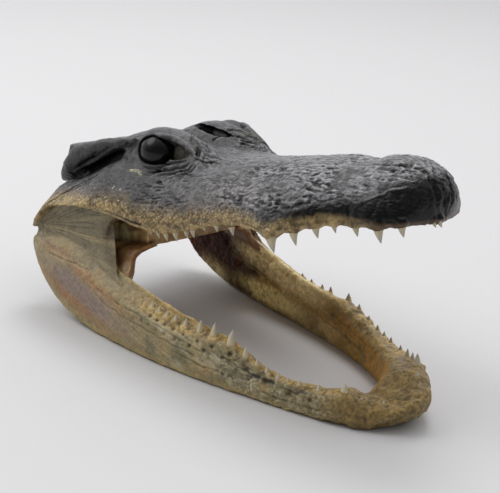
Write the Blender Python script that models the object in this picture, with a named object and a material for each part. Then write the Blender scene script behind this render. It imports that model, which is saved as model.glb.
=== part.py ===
"""Preserved head of a young American alligator, mouth open, standing on its lower jaw.

Frame: +X towards the snout, +Y the animal's left, +Z up, metres. The origin is the
middle of the bounding box, on the floor. The upper head is laid out in its own frame,
u along the tooth row and v upwards from the jaw joint, pitched nose-up by the gape.
Short profiles are written in millimetres, as (station, value) pairs. The left and right
gum lines and tooth rows differ, as they do on the real head.
"""

import math

import bmesh
import bpy
from mathutils import Matrix, Vector

MM = 0.001

# ---------------------------------------------------------------- driving dimensions
GAPE = math.radians(16.0)
JOINT_X = 0.0196
JOINT_Z = 0.0330
GAP = 0.0003
ROOM_SWELL = 0.0006

HEAD_REAR = -0.0050
REAR_HOLLOW = 0.0060
ARCH_START = 0.154
SNOUT_TIP = 0.178
ARCH_POWER = 2.05
ARCH_LIMIT = 0.996
SNOUT_CUT = 0.0777
# How far the lower rim of the snout is tucked back, where that starts, and over what height.
SNOUT_TUCK = 0.0034
TUCK_START = 0.168
TUCK_TOP = 0.0050
TUCK_HEIGHT = 0.0090
TUCK_POWER = 1.6

TABLE_HEIGHT = 0.0308
TABLE_HALF_WIDTH = 0.0250
TABLE_FRONT = 0.034
TABLE_EDGE = (0.0022, 0.0008)
TABLE_SLOPE = (0.008, 0.002)
TABLE_DROOP = 0.0035
HOLLOW_FRONT = 0.020
ROOF_EDGE = (0.35, 0.90)

BROW_CENTRE = (0.0560, 0.0150)
BROW_RADII = (0.0260, 0.0128)
BROW_RISE = 0.0080
BROW_POWER = 1.15
LID_CENTRE = (0.0560, 0.0150, 0.0320)
LID_RADII = (0.0225, 0.0097, 0.0110)

EYE_CENTRE = (0.0536, 0.0184, 0.0254)
EYE_RADIUS = 0.0078
OPENING_CENTRE = (0.0588, 0.0262, 0.0249)
OPENING_RADII = (0.0120, 0.0098, 0.0063)

OCCIPUT_CENTRE = (-0.0040, 0.0, 0.0100)
OCCIPUT_RADII = (0.0070, 0.0190, 0.0120)
CONDYLE_CENTRE = (0.0035, 0.0, 0.0020)
CONDYLE_RADII = (0.0045, 0.0042, 0.0036)
FORAMEN_CENTRE = (0.0030, 0.0, 0.0100)
FORAMEN_RADII = (0.0050, 0.0038, 0.0030)

PAD_CENTRE = (0.161, 0.0)
PAD_RADII = (0.012, 0.013)
PAD_RISE = 0.0012
NOSTRIL_CENTRE = (0.1665, 0.0050, 0.0172)
NOSTRIL_RADII = (0.0030, 0.0016, 0.0022)

CHIN_FRONT = 0.1920
CHIN_CUT = 0.1590
SPACE = 0.5

# The edge of the skull table over the ear: (u, y, v, half thickness, half height) in mm.
EAR_SPINE = ((-2.4, 25.0, 17.8, 2.4, 2.4), (3.4, 26.0, 21.4, 3.8, 4.4), (10.5, 26.2, 25.4, 3.5, 4.6),
             (20.5, 25.4, 28.0, 2.8, 3.3), (31.0, 23.8, 29.8, 2.0, 2.2))
EAR_RECESS = ((-4.0, 29.0, 12.5, 2.4, 2.0), (3.0, 29.2, 15.6, 3.0, 2.6), (12.0, 29.0, 19.2, 3.0, 2.8),
              (22.0, 28.2, 23.2, 2.4, 2.2), (30.0, 26.6, 26.4, 1.4, 1.4))

WING_SPAN = 0.0250
WING_REAR = 0.0100
WING_FRONT = 0.0505
WING_TOP = 0.0000
WING_LOW = -0.0128
WING_SWEEP = (0.010, 0.001)
WING_DROP = (0.002, 0.0)
WING_CORNER = (0.0020, 0.0015)

CHEEK_TOP_REAR = -0.0042
CHEEK_TOP_FRONT = 0.0480
CHEEK_LOW_REAR = 0.0185
CHEEK_LOW_FRONT = 0.0725
CHEEK_LOW_Y = 0.0405
CHEEK_KNOB = 0.0030
CHEEK_OVERLAP = 0.0020
CHEEK_SHARE = 0.90
CHEEK_THICKNESS = 0.0065
CHEEK_THINNING = 0.55
CHEEK_HOLLOW = 0.0125
CHEEK_DISH = 0.12

TOOTH_SIDES = 6
TOOTH_ROOT = 0.0022
TOOTH_BLUNTNESS = 0.12
UPPER_TOOTH_INSET = 0.0029


def profile(*stations):
    """Smooth, never overshooting curve through a few (station, value) pairs in mm."""
    xs = [station * MM for station, _ in stations]
    ys = [value * MM for _, value in stations]
    slopes = [(ys[i + 1] - ys[i]) / (xs[i + 1] - xs[i]) for i in range(len(xs) - 1)]
    tangents = [slopes[0]]
    for before, after in zip(slopes, slopes[1:]):
        same_way = before * after > 0.0
        tangents.append(2.0 * before * after / (before + after) if same_way else 0.0)
    tangents.append(slopes[-1])

    def value_at(x):
        x = min(max(x, xs[0]), xs[-1])
        i = max(k for k in range(len(xs) - 1) if xs[k] <= x)
        width = xs[i + 1] - xs[i]
        t = (x - xs[i]) / width
        ease = t * t * (3.0 - 2.0 * t)
        lead = t * (1.0 - t) ** 2 * width * tangents[i]
        trail = t * t * (t - 1.0) * width * tangents[i + 1]
        return ys[i] * (1.0 - ease) + ys[i + 1] * ease + lead + trail

    return value_at


# ------------------------------------------------------------- upper head, by u in mm
HEAD_HALF_WIDTH = profile((-5, 43.5), (0, 45.2), (8, 45.6), (22, 44.4), (36, 42.2), (50, 39.8),
                          (65, 37.2), (80, 34.6), (96, 32.2), (110, 31.2), (122, 31.7),
                          (133, 30.0), (146, 24.9), (154, 22.6))
LIP_HEIGHT = profile((-5, -1.5), (0, 2.0), (6, 5.6), (12, 7.6), (22, 7.4), (34, 5.8), (47, 2.4),
                     (58, -1.9), (70, -3.8), (84, -2.7), (100, -1.0), (112, -2.3), (122, -4.9),
                     (134, -3.2), (147, -2.0), (158, -3.0), (168, -3.4), (172, -3.4), (175, -3.9),
                     (178, -4.4))
CROWN_HEIGHT = profile((-5, 27.5), (0, 30.2), (12, 30.8), (34, 30.6), (46, 29.0), (60, 26.0),
                       (76, 22.8), (92, 19.9), (116, 19.4), (132, 19.3), (147, 17.4), (155, 17.8),
                       (165, 16.8), (171, 15.2), (175, 12.4), (177, 9.4), (178, 7.0))
ROOF_HEIGHT = profile((-5, 2.0), (2, -3.0), (30, -5.0), (48, -2.0), (60, 1.0), (90, 3.0),
                      (140, 2.5), (163, 1.0), (169, 0.0), (173, -1.0), (178, -1.6))
# How full the sections are: powers of a superellipse, in thousandths.
SIDE_POWER = profile((-5, 1500), (20, 1500), (45, 2300), (60, 2500), (100, 2300), (178, 2400))
TOP_POWER = profile((-5, 1150), (20, 1150), (45, 1850), (60, 2000), (178, 2100))

# Where a section's points lie, as shares of the half width, lip to midline.
CROWN_SHARES = (0.99, 0.95, 0.88, 0.78, 0.66, 0.575, 0.46, 0.32, 0.16, 0.0)
ROOF_SHARES = (0.0, 0.34, 0.64, 0.82, 0.95)

# Teeth of the upper jaw: (u, length below the lip, base radius) in mm, rear to front. The two
# foremost of the left row are lost. The front teeth are (u, y, length, base radius).
UPPER_TEETH = ((62.8, 2.1, 0.8), (66.5, 2.7, 0.9), (70.3, 3.7, 1.1), (75, 4.0, 1.2), (80.3, 3.5, 1.1),
               (83.4, 3.6, 1.1), (88.8, 1.7, 0.9), (94.8, 2.9, 1.1), (102.3, 4.5, 1.3),
               (109.5, 1.4, 1.0), (122.5, 6.4, 2.1), (132.3, 5.4, 1.6), (140.3, 4.1, 1.5),
               (146.5, 3.1, 1.1), (154.3, 3.8, 1.4), (163, 5.6, 1.8), (169.8, 4.0, 1.5))
FRONT_TEETH = ((174.6, -3.5, 1.9, 0.9), (175.0, -1.0, 2.1, 1.2), (173.0, -7.2, 1.0, 0.6))
LOST_LEFT = 160.0


def smoothstep(low, high, x):
    t = min(max((x - low) / (high - low), 0.0), 1.0)
    return t * t * (3.0 - 2.0 * t)


def bump(u, y, centre, radii):
    """A rounded mound, 1 at its centre and 0 at its rim."""
    reach = ((u - centre[0]) / radii[0]) ** 2 + ((y - centre[1]) / radii[1]) ** 2
    return max(0.0, 1.0 - reach) ** BROW_POWER


def half_width(u):
    """Plan of the upper head: the premaxilla closes the snout in a round arch."""
    if u <= ARCH_START:
        return HEAD_HALF_WIDTH(u)
    along = min((u - ARCH_START) / (SNOUT_TIP - ARCH_START), ARCH_LIMIT)
    return HEAD_HALF_WIDTH(ARCH_START) * (1.0 - along ** ARCH_POWER) ** (1.0 / ARCH_POWER)


def crown_surface(u, share):
    """Height of the skin over the skull at a share of the half width."""
    y = share * half_width(u)
    lip = LIP_HEIGHT(u)
    v = lip + (CROWN_HEIGHT(u) - lip) * (1.0 - share ** SIDE_POWER(u)) ** (1.0 / TOP_POWER(u))
    on_table = smoothstep(TABLE_HALF_WIDTH + TABLE_EDGE[0], TABLE_HALF_WIDTH - TABLE_EDGE[1], y)
    on_table *= smoothstep(TABLE_FRONT + TABLE_SLOPE[0], TABLE_FRONT - TABLE_SLOPE[1], u)
    table = TABLE_HEIGHT - TABLE_DROOP * smoothstep(0.5 * HEAD_REAR, HEAD_REAR, u)
    v += max(0.0, table - v) * on_table
    v += BROW_RISE * bump(u, y, BROW_CENTRE, BROW_RADII)
    v += PAD_RISE * bump(u, y, PAD_CENTRE, PAD_RADII)
    return v


def from_head(u, y, v):
    """World place of a point given in the pitched frame of the upper head."""
    x = JOINT_X + u * math.cos(GAPE) - v * math.sin(GAPE)
    z = JOINT_Z + u * math.sin(GAPE) + v * math.cos(GAPE)
    return Vector((x, y, z))


def head_ring(u):
    """One section of the upper head, from the right lip over the crown and back."""
    width = half_width(u)
    lip = LIP_HEIGHT(u)
    hollow = REAR_HOLLOW * smoothstep(HOLLOW_FRONT, HEAD_REAR, u)
    right = [(share * width, crown_surface(u, share)) for share in CROWN_SHARES]
    under = []
    for share in ROOF_SHARES:
        rise = 1.0 - smoothstep(*ROOF_EDGE, share)
        under.append((share * width, lip + (ROOF_HEIGHT(u) - lip) * rise))
    outline = [(-y, v) for y, v in right] + [(y, v) for y, v in reversed(right[:-1])]
    outline += [(y, v) for y, v in reversed(under)] + [(-y, v) for y, v in under[1:]]
    tuck = SNOUT_TUCK * smoothstep(TUCK_START, SNOUT_TIP, u)
    points = []
    for y, v in outline:
        low = min(max((TUCK_TOP - v) / TUCK_HEIGHT, 0.0), 1.0) ** TUCK_POWER
        points.append(from_head(u + hollow * (1.0 - (y / width) ** 4) - tuck * low, y, v))
    return points


# ------------------------------------------------------------ lower jaw, by x in mm
# Plan of one side, rear to chin: (x, outer y, x, inner y).
JAW_PLAN = ((18.5, 44.6, 20.5, 38.5), (27, 46.0, 28, 37.5), (42, 46.0, 42, 36.5), (60, 45.4, 58, 34.8),
            (78, 44.7, 75, 33.0), (97, 42.9, 93, 31.4), (115, 39.6, 111, 29.6), (132, 35.3, 128, 26.6),
            (147, 30.6, 143, 22.4), (159, 26.8, 154, 17.6), (171.5, 22.2, 162, 12.0),
            (182.5, 15.2, 166.6, 6.0), (189.4, 7.8, 167.8, 2.6), (192.0, 0.0, 168.0, 0.0))
OUTER_UNDERSIDE = profile((14, 30.0), (19, 24.0), (25, 16.5), (34, 8.6), (48, 2.6), (60, 0.4), (66, 0.0),
                          (184, 0.0))
INNER_UNDERSIDE = profile((14, 18.0), (20, 10.0), (34, 3.6), (46, 1.2), (58, 0.0), (184, 0.0))
GUM_HEIGHT_RIGHT = profile((12, 28.0), (20, 30.4), (30, 31.4), (44, 31.0), (56, 29.0), (70, 26.0),
                           (84, 23.4), (98, 21.2), (112, 19.8), (124, 19.0), (133, 15.8), (142, 12.0),
                           (152, 10.2), (164, 10.4), (171, 11.6), (178, 9.2), (184, 9.4), (192, 14.0))
GUM_HEIGHT_LEFT = profile((12, 28.0), (20, 30.4), (30, 31.4), (44, 31.0), (56, 29.0), (70, 26.0),
                          (84, 23.0), (98, 20.6), (112, 19.8), (124, 19.6), (134, 17.4), (144, 15.6),
                          (156, 14.6), (168, 15.2), (179, 16.6), (192, 14.0))
# Section of a ramus: (share of the thickness from the inner face, share of the height),
# with a crest that falls outward behind the long teeth and is level in front of them.
JAW_REAR_SECTION = ((0.26, 0.0), (0.66, 0.0), (0.90, 0.04), (0.99, 0.22), (1.0, 0.46), (0.97, 0.64),
                    (0.90, 0.76), (0.72, 0.84), (0.46, 0.96), (0.26, 1.0), (0.10, 0.84), (0.03, 0.46),
                    (0.08, 0.16))
JAW_FRONT_SECTION = ((0.26, 0.0), (0.62, 0.0), (0.88, 0.05), (0.99, 0.26), (1.0, 0.52), (0.97, 0.78),
                     (0.88, 0.94), (0.72, 1.0), (0.46, 1.0), (0.24, 0.92), (0.10, 0.74), (0.03, 0.46),
                     (0.08, 0.18))
LEVEL_FROM = 0.104
LEVEL_BY = 0.134
CHIN_LIFT = 0.0050
CHIN_LIFT_FROM = 0.176
CHIN_ROUND_FROM = 0.170
GUM_BLEND = 0.0085
CREST_CORNER = 7
CREST_REAR_SHARE = 0.55
CREST_FRONT_SHARE = 0.10

# Teeth of the lower jaw: (x, height above the gum, base radius) in mm, rear to front.
LOWER_TEETH_RIGHT = ((90, 2.2, 0.9), (93.8, 2.0, 0.9), (97.8, 2.0, 1.0), (102, 2.4, 1.0), (107, 3.0, 1.1),
                     (114, 4.9, 1.2), (120.5, 5.7, 1.4), (128.5, 5.9, 1.7), (134.8, 3.7, 1.3),
                     (139.6, 2.9, 1.1), (143.6, 2.5, 1.1), (148, 2.4, 1.1), (151.6, 1.8, 1.1),
                     (155.8, 2.4, 1.1), (162.8, 2.5, 1.2), (171, 3.9, 1.8), (176, 1.6, 1.2),
                     (181.5, 1.4, 1.1))
LOWER_TEETH_LEFT = ((94, 1.4, 0.9), (100, 1.6, 1.0), (107, 2.3, 1.0), (112.3, 3.2, 1.1), (123.8, 3.8, 1.6),
                    (131, 2.5, 1.2), (138.2, 2.2, 1.1), (144.8, 2.3, 1.0), (149.6, 2.1, 1.0),
                    (154.6, 2.4, 1.0), (161.8, 2.4, 1.0), (167, 3.2, 1.0), (171.6, 3.4, 1.1),
                    (177.2, 5.4, 1.7), (182.2, 2.2, 1.1))


# Surfaces: colour, roughness and the nodes that carry it.
LOOKS = {
    "dark_skin": ((0.045, 0.045, 0.048), 0.45,
                  ("cranium", "snout", "brow_left", "brow_right", "ear_flap_left", "ear_flap_right")),
    "pale_skin": ((0.36, 0.27, 0.14), 0.55, ("jaw_left", "jaw_right", "chin")),
    "dried_tissue": ((0.22, 0.15, 0.08), 0.60, ("cheek_left", "cheek_right", "palate_wings")),
    "eye_glass": ((0.010, 0.010, 0.012), 0.08, ("eye_left", "eye_right")),
}


def spline(points, t):
    """Catmull-Rom curve through tuples, t counting whole points."""
    i = min(int(t), len(points) - 2)
    s = t - i
    before = points[i - 1] if i else tuple(2 * a - b for a, b in zip(points[0], points[1]))
    after = points[i + 2] if i + 2 < len(points) else points[-1]
    result = []
    for a, b, c, d in zip(before, points[i], points[i + 1], after):
        result.append(b + 0.5 * s * (c - a + s * (2 * a - 5 * b + 4 * c - d + s * (3 * (b - c) + d - a))))
    return tuple(result)


def jaw_point(t, side, section_index):
    """One corner of the section at a place along the plan of one side."""
    outer_x, outer_y, inner_x, inner_y = (value * MM for value in spline(JAW_PLAN, t))
    middle = 0.5 * (outer_x + inner_x)
    level = smoothstep(LEVEL_FROM, LEVEL_BY, middle)
    rear_share, rear_height = JAW_REAR_SECTION[section_index]
    front_share, front_height = JAW_FRONT_SECTION[section_index]
    share = rear_share + (front_share - rear_share) * level
    height = rear_height + (front_height - rear_height) * level
    x = inner_x + (outer_x - inner_x) * share
    y = inner_y + (outer_y - inner_y) * share
    along = max(middle, min(x, outer_x)) if outer_x > CHIN_ROUND_FROM else middle
    leftness = smoothstep(-GUM_BLEND, GUM_BLEND, side * y)
    gum = GUM_HEIGHT_RIGHT(along) + (GUM_HEIGHT_LEFT(along) - GUM_HEIGHT_RIGHT(along)) * leftness
    under = INNER_UNDERSIDE(middle) + (OUTER_UNDERSIDE(middle) - INNER_UNDERSIDE(middle)) * share
    under += CHIN_LIFT * smoothstep(CHIN_LIFT_FROM, CHIN_FRONT, x) * smoothstep(0.5, 1.0, share)
    return Vector((x, side * y, under + (gum - under) * height))


def jaw_ring(t, side):
    return [jaw_point(t, side, index) for index in range(len(JAW_FRONT_SECTION))]


def gum_point(x, side):
    """Middle of the tooth row at a given place along the jaw, between two section corners."""
    low, high = 0.0, float(len(JAW_PLAN) - 1)
    for _ in range(30):
        middle = 0.5 * (low + high)
        outer = jaw_point(middle, side, CREST_CORNER)
        inner = jaw_point(middle, side, CREST_CORNER + 1)
        level = smoothstep(LEVEL_FROM, LEVEL_BY, x)
        place = outer.lerp(inner, CREST_REAR_SHARE + (CREST_FRONT_SHARE - CREST_REAR_SHARE) * level)
        if place.x < x:
            low = middle
        else:
            high = middle
    return place


# ------------------------------------------------------------------- mesh helpers
def new_object(name, mesh):
    result = bpy.data.objects.new(name, mesh)
    collection.objects.link(result)
    return result


def bmesh_object(name, bm):
    bmesh.ops.recalc_face_normals(bm, faces=bm.faces)
    mesh = bpy.data.meshes.new(name)
    bm.to_mesh(mesh)
    bm.free()
    return new_object(name, mesh)


def loft(name, rings):
    """Skin a row of like rings and close both ends with a fan."""
    bm = bmesh.new()
    rows = [[bm.verts.new(point) for point in ring] for ring in rings]
    count = len(rows[0])
    for first, second in zip(rows, rows[1:]):
        for i in range(count):
            j = (i + 1) % count
            bm.faces.new((first[i], first[j], second[j], second[i]))
    for row in (rows[0], rows[-1]):
        hub = bm.verts.new(sum((vert.co for vert in row), Vector()) / count)
        for i in range(count):
            bm.faces.new((row[i], row[(i + 1) % count], hub))
    return bmesh_object(name, bm)


def ellipsoid(name, centre, radii, segments=12):
    """A ball stretched along the axes of the head frame."""
    bm = bmesh.new()
    bmesh.ops.create_uvsphere(bm, u_segments=segments, v_segments=segments // 2, radius=1.0)
    for vert in bm.verts:
        vert.co = from_head(*(middle + reach * part for middle, reach, part in zip(centre, radii, vert.co)))
    return bmesh_object(name, bm)


def block(name, low, high, in_head_frame):
    bm = bmesh.new()
    bmesh.ops.create_cube(bm, size=1.0)
    for vert in bm.verts:
        local = [a + (b - a) * (part + 0.5) for a, b, part in zip(low, high, vert.co)]
        vert.co = from_head(*local) if in_head_frame else Vector(local)
    return bmesh_object(name, bm)


def boolean(target, operation, *others):
    """Cut, join or intersect with the others, which are used up.

    The manifold solver is the one that keeps these lofted bodies whole.
    """
    for other in others:
        modifier = target.modifiers.new(operation.lower(), "BOOLEAN")
        modifier.operation = operation
        modifier.solver = "MANIFOLD"
        modifier.object = other
        depsgraph = bpy.context.evaluated_depsgraph_get()
        mesh = bpy.data.meshes.new_from_object(target.evaluated_get(depsgraph))
        target.modifiers.clear()
        target.data = mesh
        bpy.data.objects.remove(other, do_unlink=True)
    return target


def copy_of(source, name):
    return new_object(name, source.data.copy())


def grown(source, name, swell=GAP):
    """A copy swollen by the gap, to cut the room that a neighbour leaves."""
    result = copy_of(source, name)
    bm = bmesh.new()
    bm.from_mesh(result.data)
    bm.normal_update()
    shifts = [vert.normal * swell * vert.calc_shell_factor() for vert in bm.verts]
    for vert, shift in zip(bm.verts, shifts):
        vert.co += shift
    bm.to_mesh(result.data)
    bm.free()
    return result


def keep_largest(target):
    """Drop the crumbs that a cut leaves beside the body."""
    bm = bmesh.new()
    bm.from_mesh(target.data)
    islands = []
    waiting = set(bm.verts)
    while waiting:
        island = set()
        reached = [waiting.pop()]
        while reached:
            vert = reached.pop()
            island.add(vert)
            near = {edge.other_vert(vert) for edge in vert.link_edges} & waiting
            waiting -= near
            reached.extend(near)
        islands.append(island)
    body = max(islands, key=len)
    bmesh.ops.delete(bm, geom=[vert for vert in bm.verts if vert not in body], context="VERTS")
    bm.to_mesh(target.data)
    bm.free()


def keep_side(target, side):
    """Keep the body on one side of the midline, where the halves don't touch."""
    bm = bmesh.new()
    bm.from_mesh(target.data)
    bmesh.ops.delete(bm, geom=[vert for vert in bm.verts if vert.co.y * side < 0.0], context="VERTS")
    bm.to_mesh(target.data)
    bm.free()


def cone_into(bm, base, tip, radius):
    """One tooth: a cone from inside the gum to its tip, slightly blunt."""
    axis = tip - base
    turn = axis.to_track_quat("Z", "Y").to_matrix().to_4x4()
    turn.translation = base + 0.5 * axis
    bmesh.ops.create_cone(bm, cap_ends=True, segments=TOOTH_SIDES, radius1=radius,
                          radius2=TOOTH_BLUNTNESS * radius, depth=axis.length, matrix=turn)


# ------------------------------------------------------------------------ sub-parts
def upper_teeth():
    """Both upper rows in one mesh, rooted in the lip."""
    bm = bmesh.new()
    for side in (-1.0, 1.0):
        for u, length, radius in UPPER_TEETH:
            if side > 0.0 and u > LOST_LEFT:
                continue
            y = side * (half_width(u * MM) - UPPER_TOOTH_INSET)
            lip = LIP_HEIGHT(u * MM)
            base = from_head(u * MM, y, lip + TOOTH_ROOT)
            tip = from_head((u + 0.4) * MM, y + side * 0.3 * MM, lip - length * MM)
            cone_into(bm, base, tip, radius * MM)
    for u, y, length, radius in FRONT_TEETH:
        lip = LIP_HEIGHT(u * MM)
        base = from_head((u - 0.8) * MM, y * MM, lip + TOOTH_ROOT)
        tip = from_head((u + 0.4) * MM, y * MM, lip - length * MM)
        cone_into(bm, base, tip, radius * MM)
    return bmesh_object("upper_teeth", bm)


def upper_head():
    """The whole upper head before it is parted."""
    steps = 28
    stations = [HEAD_REAR + (ARCH_START - HEAD_REAR) * i / steps for i in range(steps)]
    arch = 7
    for i in range(arch + 1):
        stations.append(ARCH_START + (SNOUT_TIP - ARCH_START) * math.sin(0.5 * math.pi * i / arch))
    return loft("upper_head", [head_ring(u) for u in stations])


def tube(name, spine, side):
    """A soft roll along a spine of (u, y, v, half thickness, half height) in mm."""
    sides = 8
    steps = 2
    rings = []
    for step in range(steps * (len(spine) - 1) + 1):
        u, y, v, across, tall = (value * MM for value in spline(spine, step / steps))
        ring = []
        for k in range(sides):
            angle = 2.0 * math.pi * k / sides
            ring.append(from_head(u, side * (y + across * math.cos(angle)), v + tall * math.sin(angle)))
        rings.append(ring)
    return loft(name, rings)


def skull_base():
    """Wings of the palate that hang behind the mouth."""
    steps = 12
    rings = []
    for i in range(steps + 1):
        y = WING_SPAN * (2.0 * i / steps - 1.0)
        out = abs(y) / WING_SPAN
        rear = WING_REAR + WING_SWEEP[0] * out
        front = WING_FRONT - WING_SWEEP[1] * out
        top = WING_TOP - WING_DROP[0] * out
        low = WING_LOW - WING_DROP[1] * out
        ring = [(rear, top), (front, top), (front - 1.0 * MM, 0.5 * (top + low)),
                (front - WING_CORNER[0], low + WING_CORNER[1]), (0.5 * (rear + front), low),
                (rear + 4.0 * MM, low + 2.0 * MM)]
        rings.append([from_head(u, y, v) for u, v in ring])
    return loft("skull_base", rings)


def cheek(side):
    """Dried skin and muscle that close the jaw corner, from the joint to a hollow front edge."""
    steps = 10
    rows = 6
    rings = []
    for i in range(steps + 1):
        t = i / steps
        u = CHEEK_TOP_REAR + (CHEEK_TOP_FRONT - CHEEK_TOP_REAR) * t
        x = CHEEK_LOW_REAR + (CHEEK_LOW_FRONT - CHEEK_LOW_REAR) * t
        knob = CHEEK_KNOB * (1.0 - smoothstep(0.0, 0.35, t))
        top = from_head(u, CHEEK_SHARE * half_width(u) + knob, LIP_HEIGHT(u) + CHEEK_OVERLAP)
        low = Vector((x, CHEEK_LOW_Y + knob, GUM_HEIGHT_RIGHT(x) - CHEEK_OVERLAP))
        thickness = CHEEK_THICKNESS * (1.0 - CHEEK_THINNING * t)
        outer = []
        for k in range(rows + 1):
            s = k / rows
            hollow = 4.0 * s * (1.0 - s) * CHEEK_HOLLOW
            point = top.lerp(low, s) - Vector((hollow * t * t, CHEEK_DISH * hollow, 0.0))
            outer.append(Vector((point.x, side * point.y, point.z)))
        inner = [point - Vector((0.0, side * thickness, 0.0)) for point in reversed(outer)]
        rings.append(outer + inner)
    return loft("cheek", rings)


def lower_jaw():
    """The whole lower jaw, one loop from the right joint round the chin to the left."""
    per_point = 2
    last = len(JAW_PLAN) - 1
    rings = [jaw_ring(k / per_point, -1.0) for k in range(last * per_point + 1)]
    rings += [jaw_ring(k / per_point, 1.0) for k in range(last * per_point - 1, -1, -1)]
    return loft("lower_jaw", rings)


def lower_teeth():
    """Both lower rows in one mesh, rooted in the gum."""
    bm = bmesh.new()
    for side, teeth in ((-1.0, LOWER_TEETH_RIGHT), (1.0, LOWER_TEETH_LEFT)):
        for x, height, radius in teeth:
            gum = gum_point(x * MM, side)
            base = gum - Vector((0.0, 0.0, TOOTH_ROOT))
            tip = gum + Vector((0.0, side * 0.4 * MM, height * MM))
            cone_into(bm, base, tip, radius * MM)
    return bmesh_object("lower_teeth", bm)


def side_name(stem, side):
    return f"{stem}_{'left' if side > 0 else 'right'}"


def part_by_plane(whole, name_behind, name_ahead, x, in_head_frame=False):
    """Part a body at a plane across its length, with the gap between the halves."""
    ahead = copy_of(whole, name_ahead)
    half = 0.5 * GAP
    front = block("front", (x + half, -SPACE, -SPACE), (SPACE, SPACE, SPACE), in_head_frame)
    rear = block("rear", (-SPACE, -SPACE, -SPACE), (x - half, SPACE, SPACE), in_head_frame)
    boolean(ahead, "INTERSECT", front)
    boolean(whole, "INTERSECT", rear)
    whole.name = name_behind
    return whole, ahead


def build_upper_head():
    head = upper_head()
    boolean(head, "DIFFERENCE", ellipsoid("occiput", OCCIPUT_CENTRE, OCCIPUT_RADII))
    boolean(head, "UNION", ellipsoid("condyle", CONDYLE_CENTRE, CONDYLE_RADII, segments=8))
    boolean(head, "DIFFERENCE", ellipsoid("foramen", FORAMEN_CENTRE, FORAMEN_RADII, segments=8))
    for side in (-1.0, 1.0):
        centre = [EYE_CENTRE[0], side * EYE_CENTRE[1], EYE_CENTRE[2]]
        eye = ellipsoid(side_name("eye", side), centre, [EYE_RADIUS] * 3, segments=14)
        flap = tube(side_name("ear_flap", side), EAR_SPINE, side)
        nostril = [NOSTRIL_CENTRE[0], side * NOSTRIL_CENTRE[1], NOSTRIL_CENTRE[2]]
        opening = [OPENING_CENTRE[0], side * OPENING_CENTRE[1], OPENING_CENTRE[2]]
        lid = [LID_CENTRE[0], side * LID_CENTRE[1], LID_CENTRE[2]]
        boolean(head, "DIFFERENCE", tube("ear_recess", EAR_RECESS, side))
        boolean(head, "DIFFERENCE", grown(flap, "flap_room"))
        boolean(head, "DIFFERENCE", ellipsoid("nostril", nostril, NOSTRIL_RADII, segments=8))
        boolean(head, "DIFFERENCE", ellipsoid("opening", opening, OPENING_RADII))
        boolean(head, "DIFFERENCE", grown(eye, "socket"))
        brow = copy_of(head, side_name("brow", side))
        boolean(brow, "INTERSECT", ellipsoid("lid", lid, LID_RADII, segments=14))
        keep_largest(brow)
        room = [radius + GAP for radius in LID_RADII]
        boolean(head, "DIFFERENCE", ellipsoid("lid_room", lid, room, segments=14))
    keep_largest(head)
    boolean(head, "UNION", upper_teeth())
    part_by_plane(head, "cranium", "snout", SNOUT_CUT, in_head_frame=True)


def build_lower_jaw():
    jaw = lower_jaw()
    boolean(jaw, "UNION", lower_teeth())
    right, _ = part_by_plane(jaw, "jaw_right", "chin", CHIN_CUT)
    left = copy_of(right, "jaw_left")
    keep_side(right, -1.0)
    keep_side(left, 1.0)


def build_links():
    """What joins the two halves of the head: the cheeks, and the wings of the palate."""
    for side in (-1.0, 1.0):
        piece = cheek(side)
        piece.name = side_name("cheek", side)
        for name in ("cranium", side_name("jaw", side)):
            boolean(piece, "DIFFERENCE", grown(bpy.data.objects[name], "room", ROOM_SWELL))
        keep_largest(piece)
    wings = skull_base()
    wings.name = "palate_wings"
    boolean(wings, "DIFFERENCE", grown(bpy.data.objects["cranium"], "room", ROOM_SWELL))
    keep_largest(wings)


def recentre():
    """Move the whole head so that the middle of its box is over the origin."""
    points = [vert.co for item in collection.objects for vert in item.data.vertices]
    shift = Vector()
    for axis in (0, 1):
        places = [point[axis] for point in points]
        shift[axis] = -0.5 * (min(places) + max(places))
    for item in collection.objects:
        item.data.transform(Matrix.Translation(shift))


def paint():
    """One plain material for each kind of surface."""
    for material_name, (colour, roughness, nodes) in LOOKS.items():
        material = bpy.data.materials.new(material_name)
        material.use_nodes = True
        shader = material.node_tree.nodes["Principled BSDF"]
        shader.inputs["Base Color"].default_value = (*colour, 1.0)
        shader.inputs["Roughness"].default_value = roughness
        for node in nodes:
            mesh = bpy.data.objects[node].data
            mesh.materials.clear()
            mesh.materials.append(material)


for item in list(bpy.data.objects):
    bpy.data.objects.remove(item, do_unlink=True)
collection = bpy.data.collections.new("alligator_head")
bpy.context.scene.collection.children.link(collection)

build_upper_head()
build_lower_jaw()
build_links()
recentre()
paint()
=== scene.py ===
"""The looks of a preserved head of a young American alligator, mouth open, on its lower jaw.

One skin is grown over smooth forms of the same sizes as the solids, then folded, cracked,
pitted and coloured by functions of the place on the head. Teeth and eyes are separate.
Frame: +X towards the snout, +Y the animal's left, +Z up, metres.
"""

import math

import bmesh
import bpy
import numpy as np
from mathutils import Matrix, Vector
from mathutils.kdtree import KDTree


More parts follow.
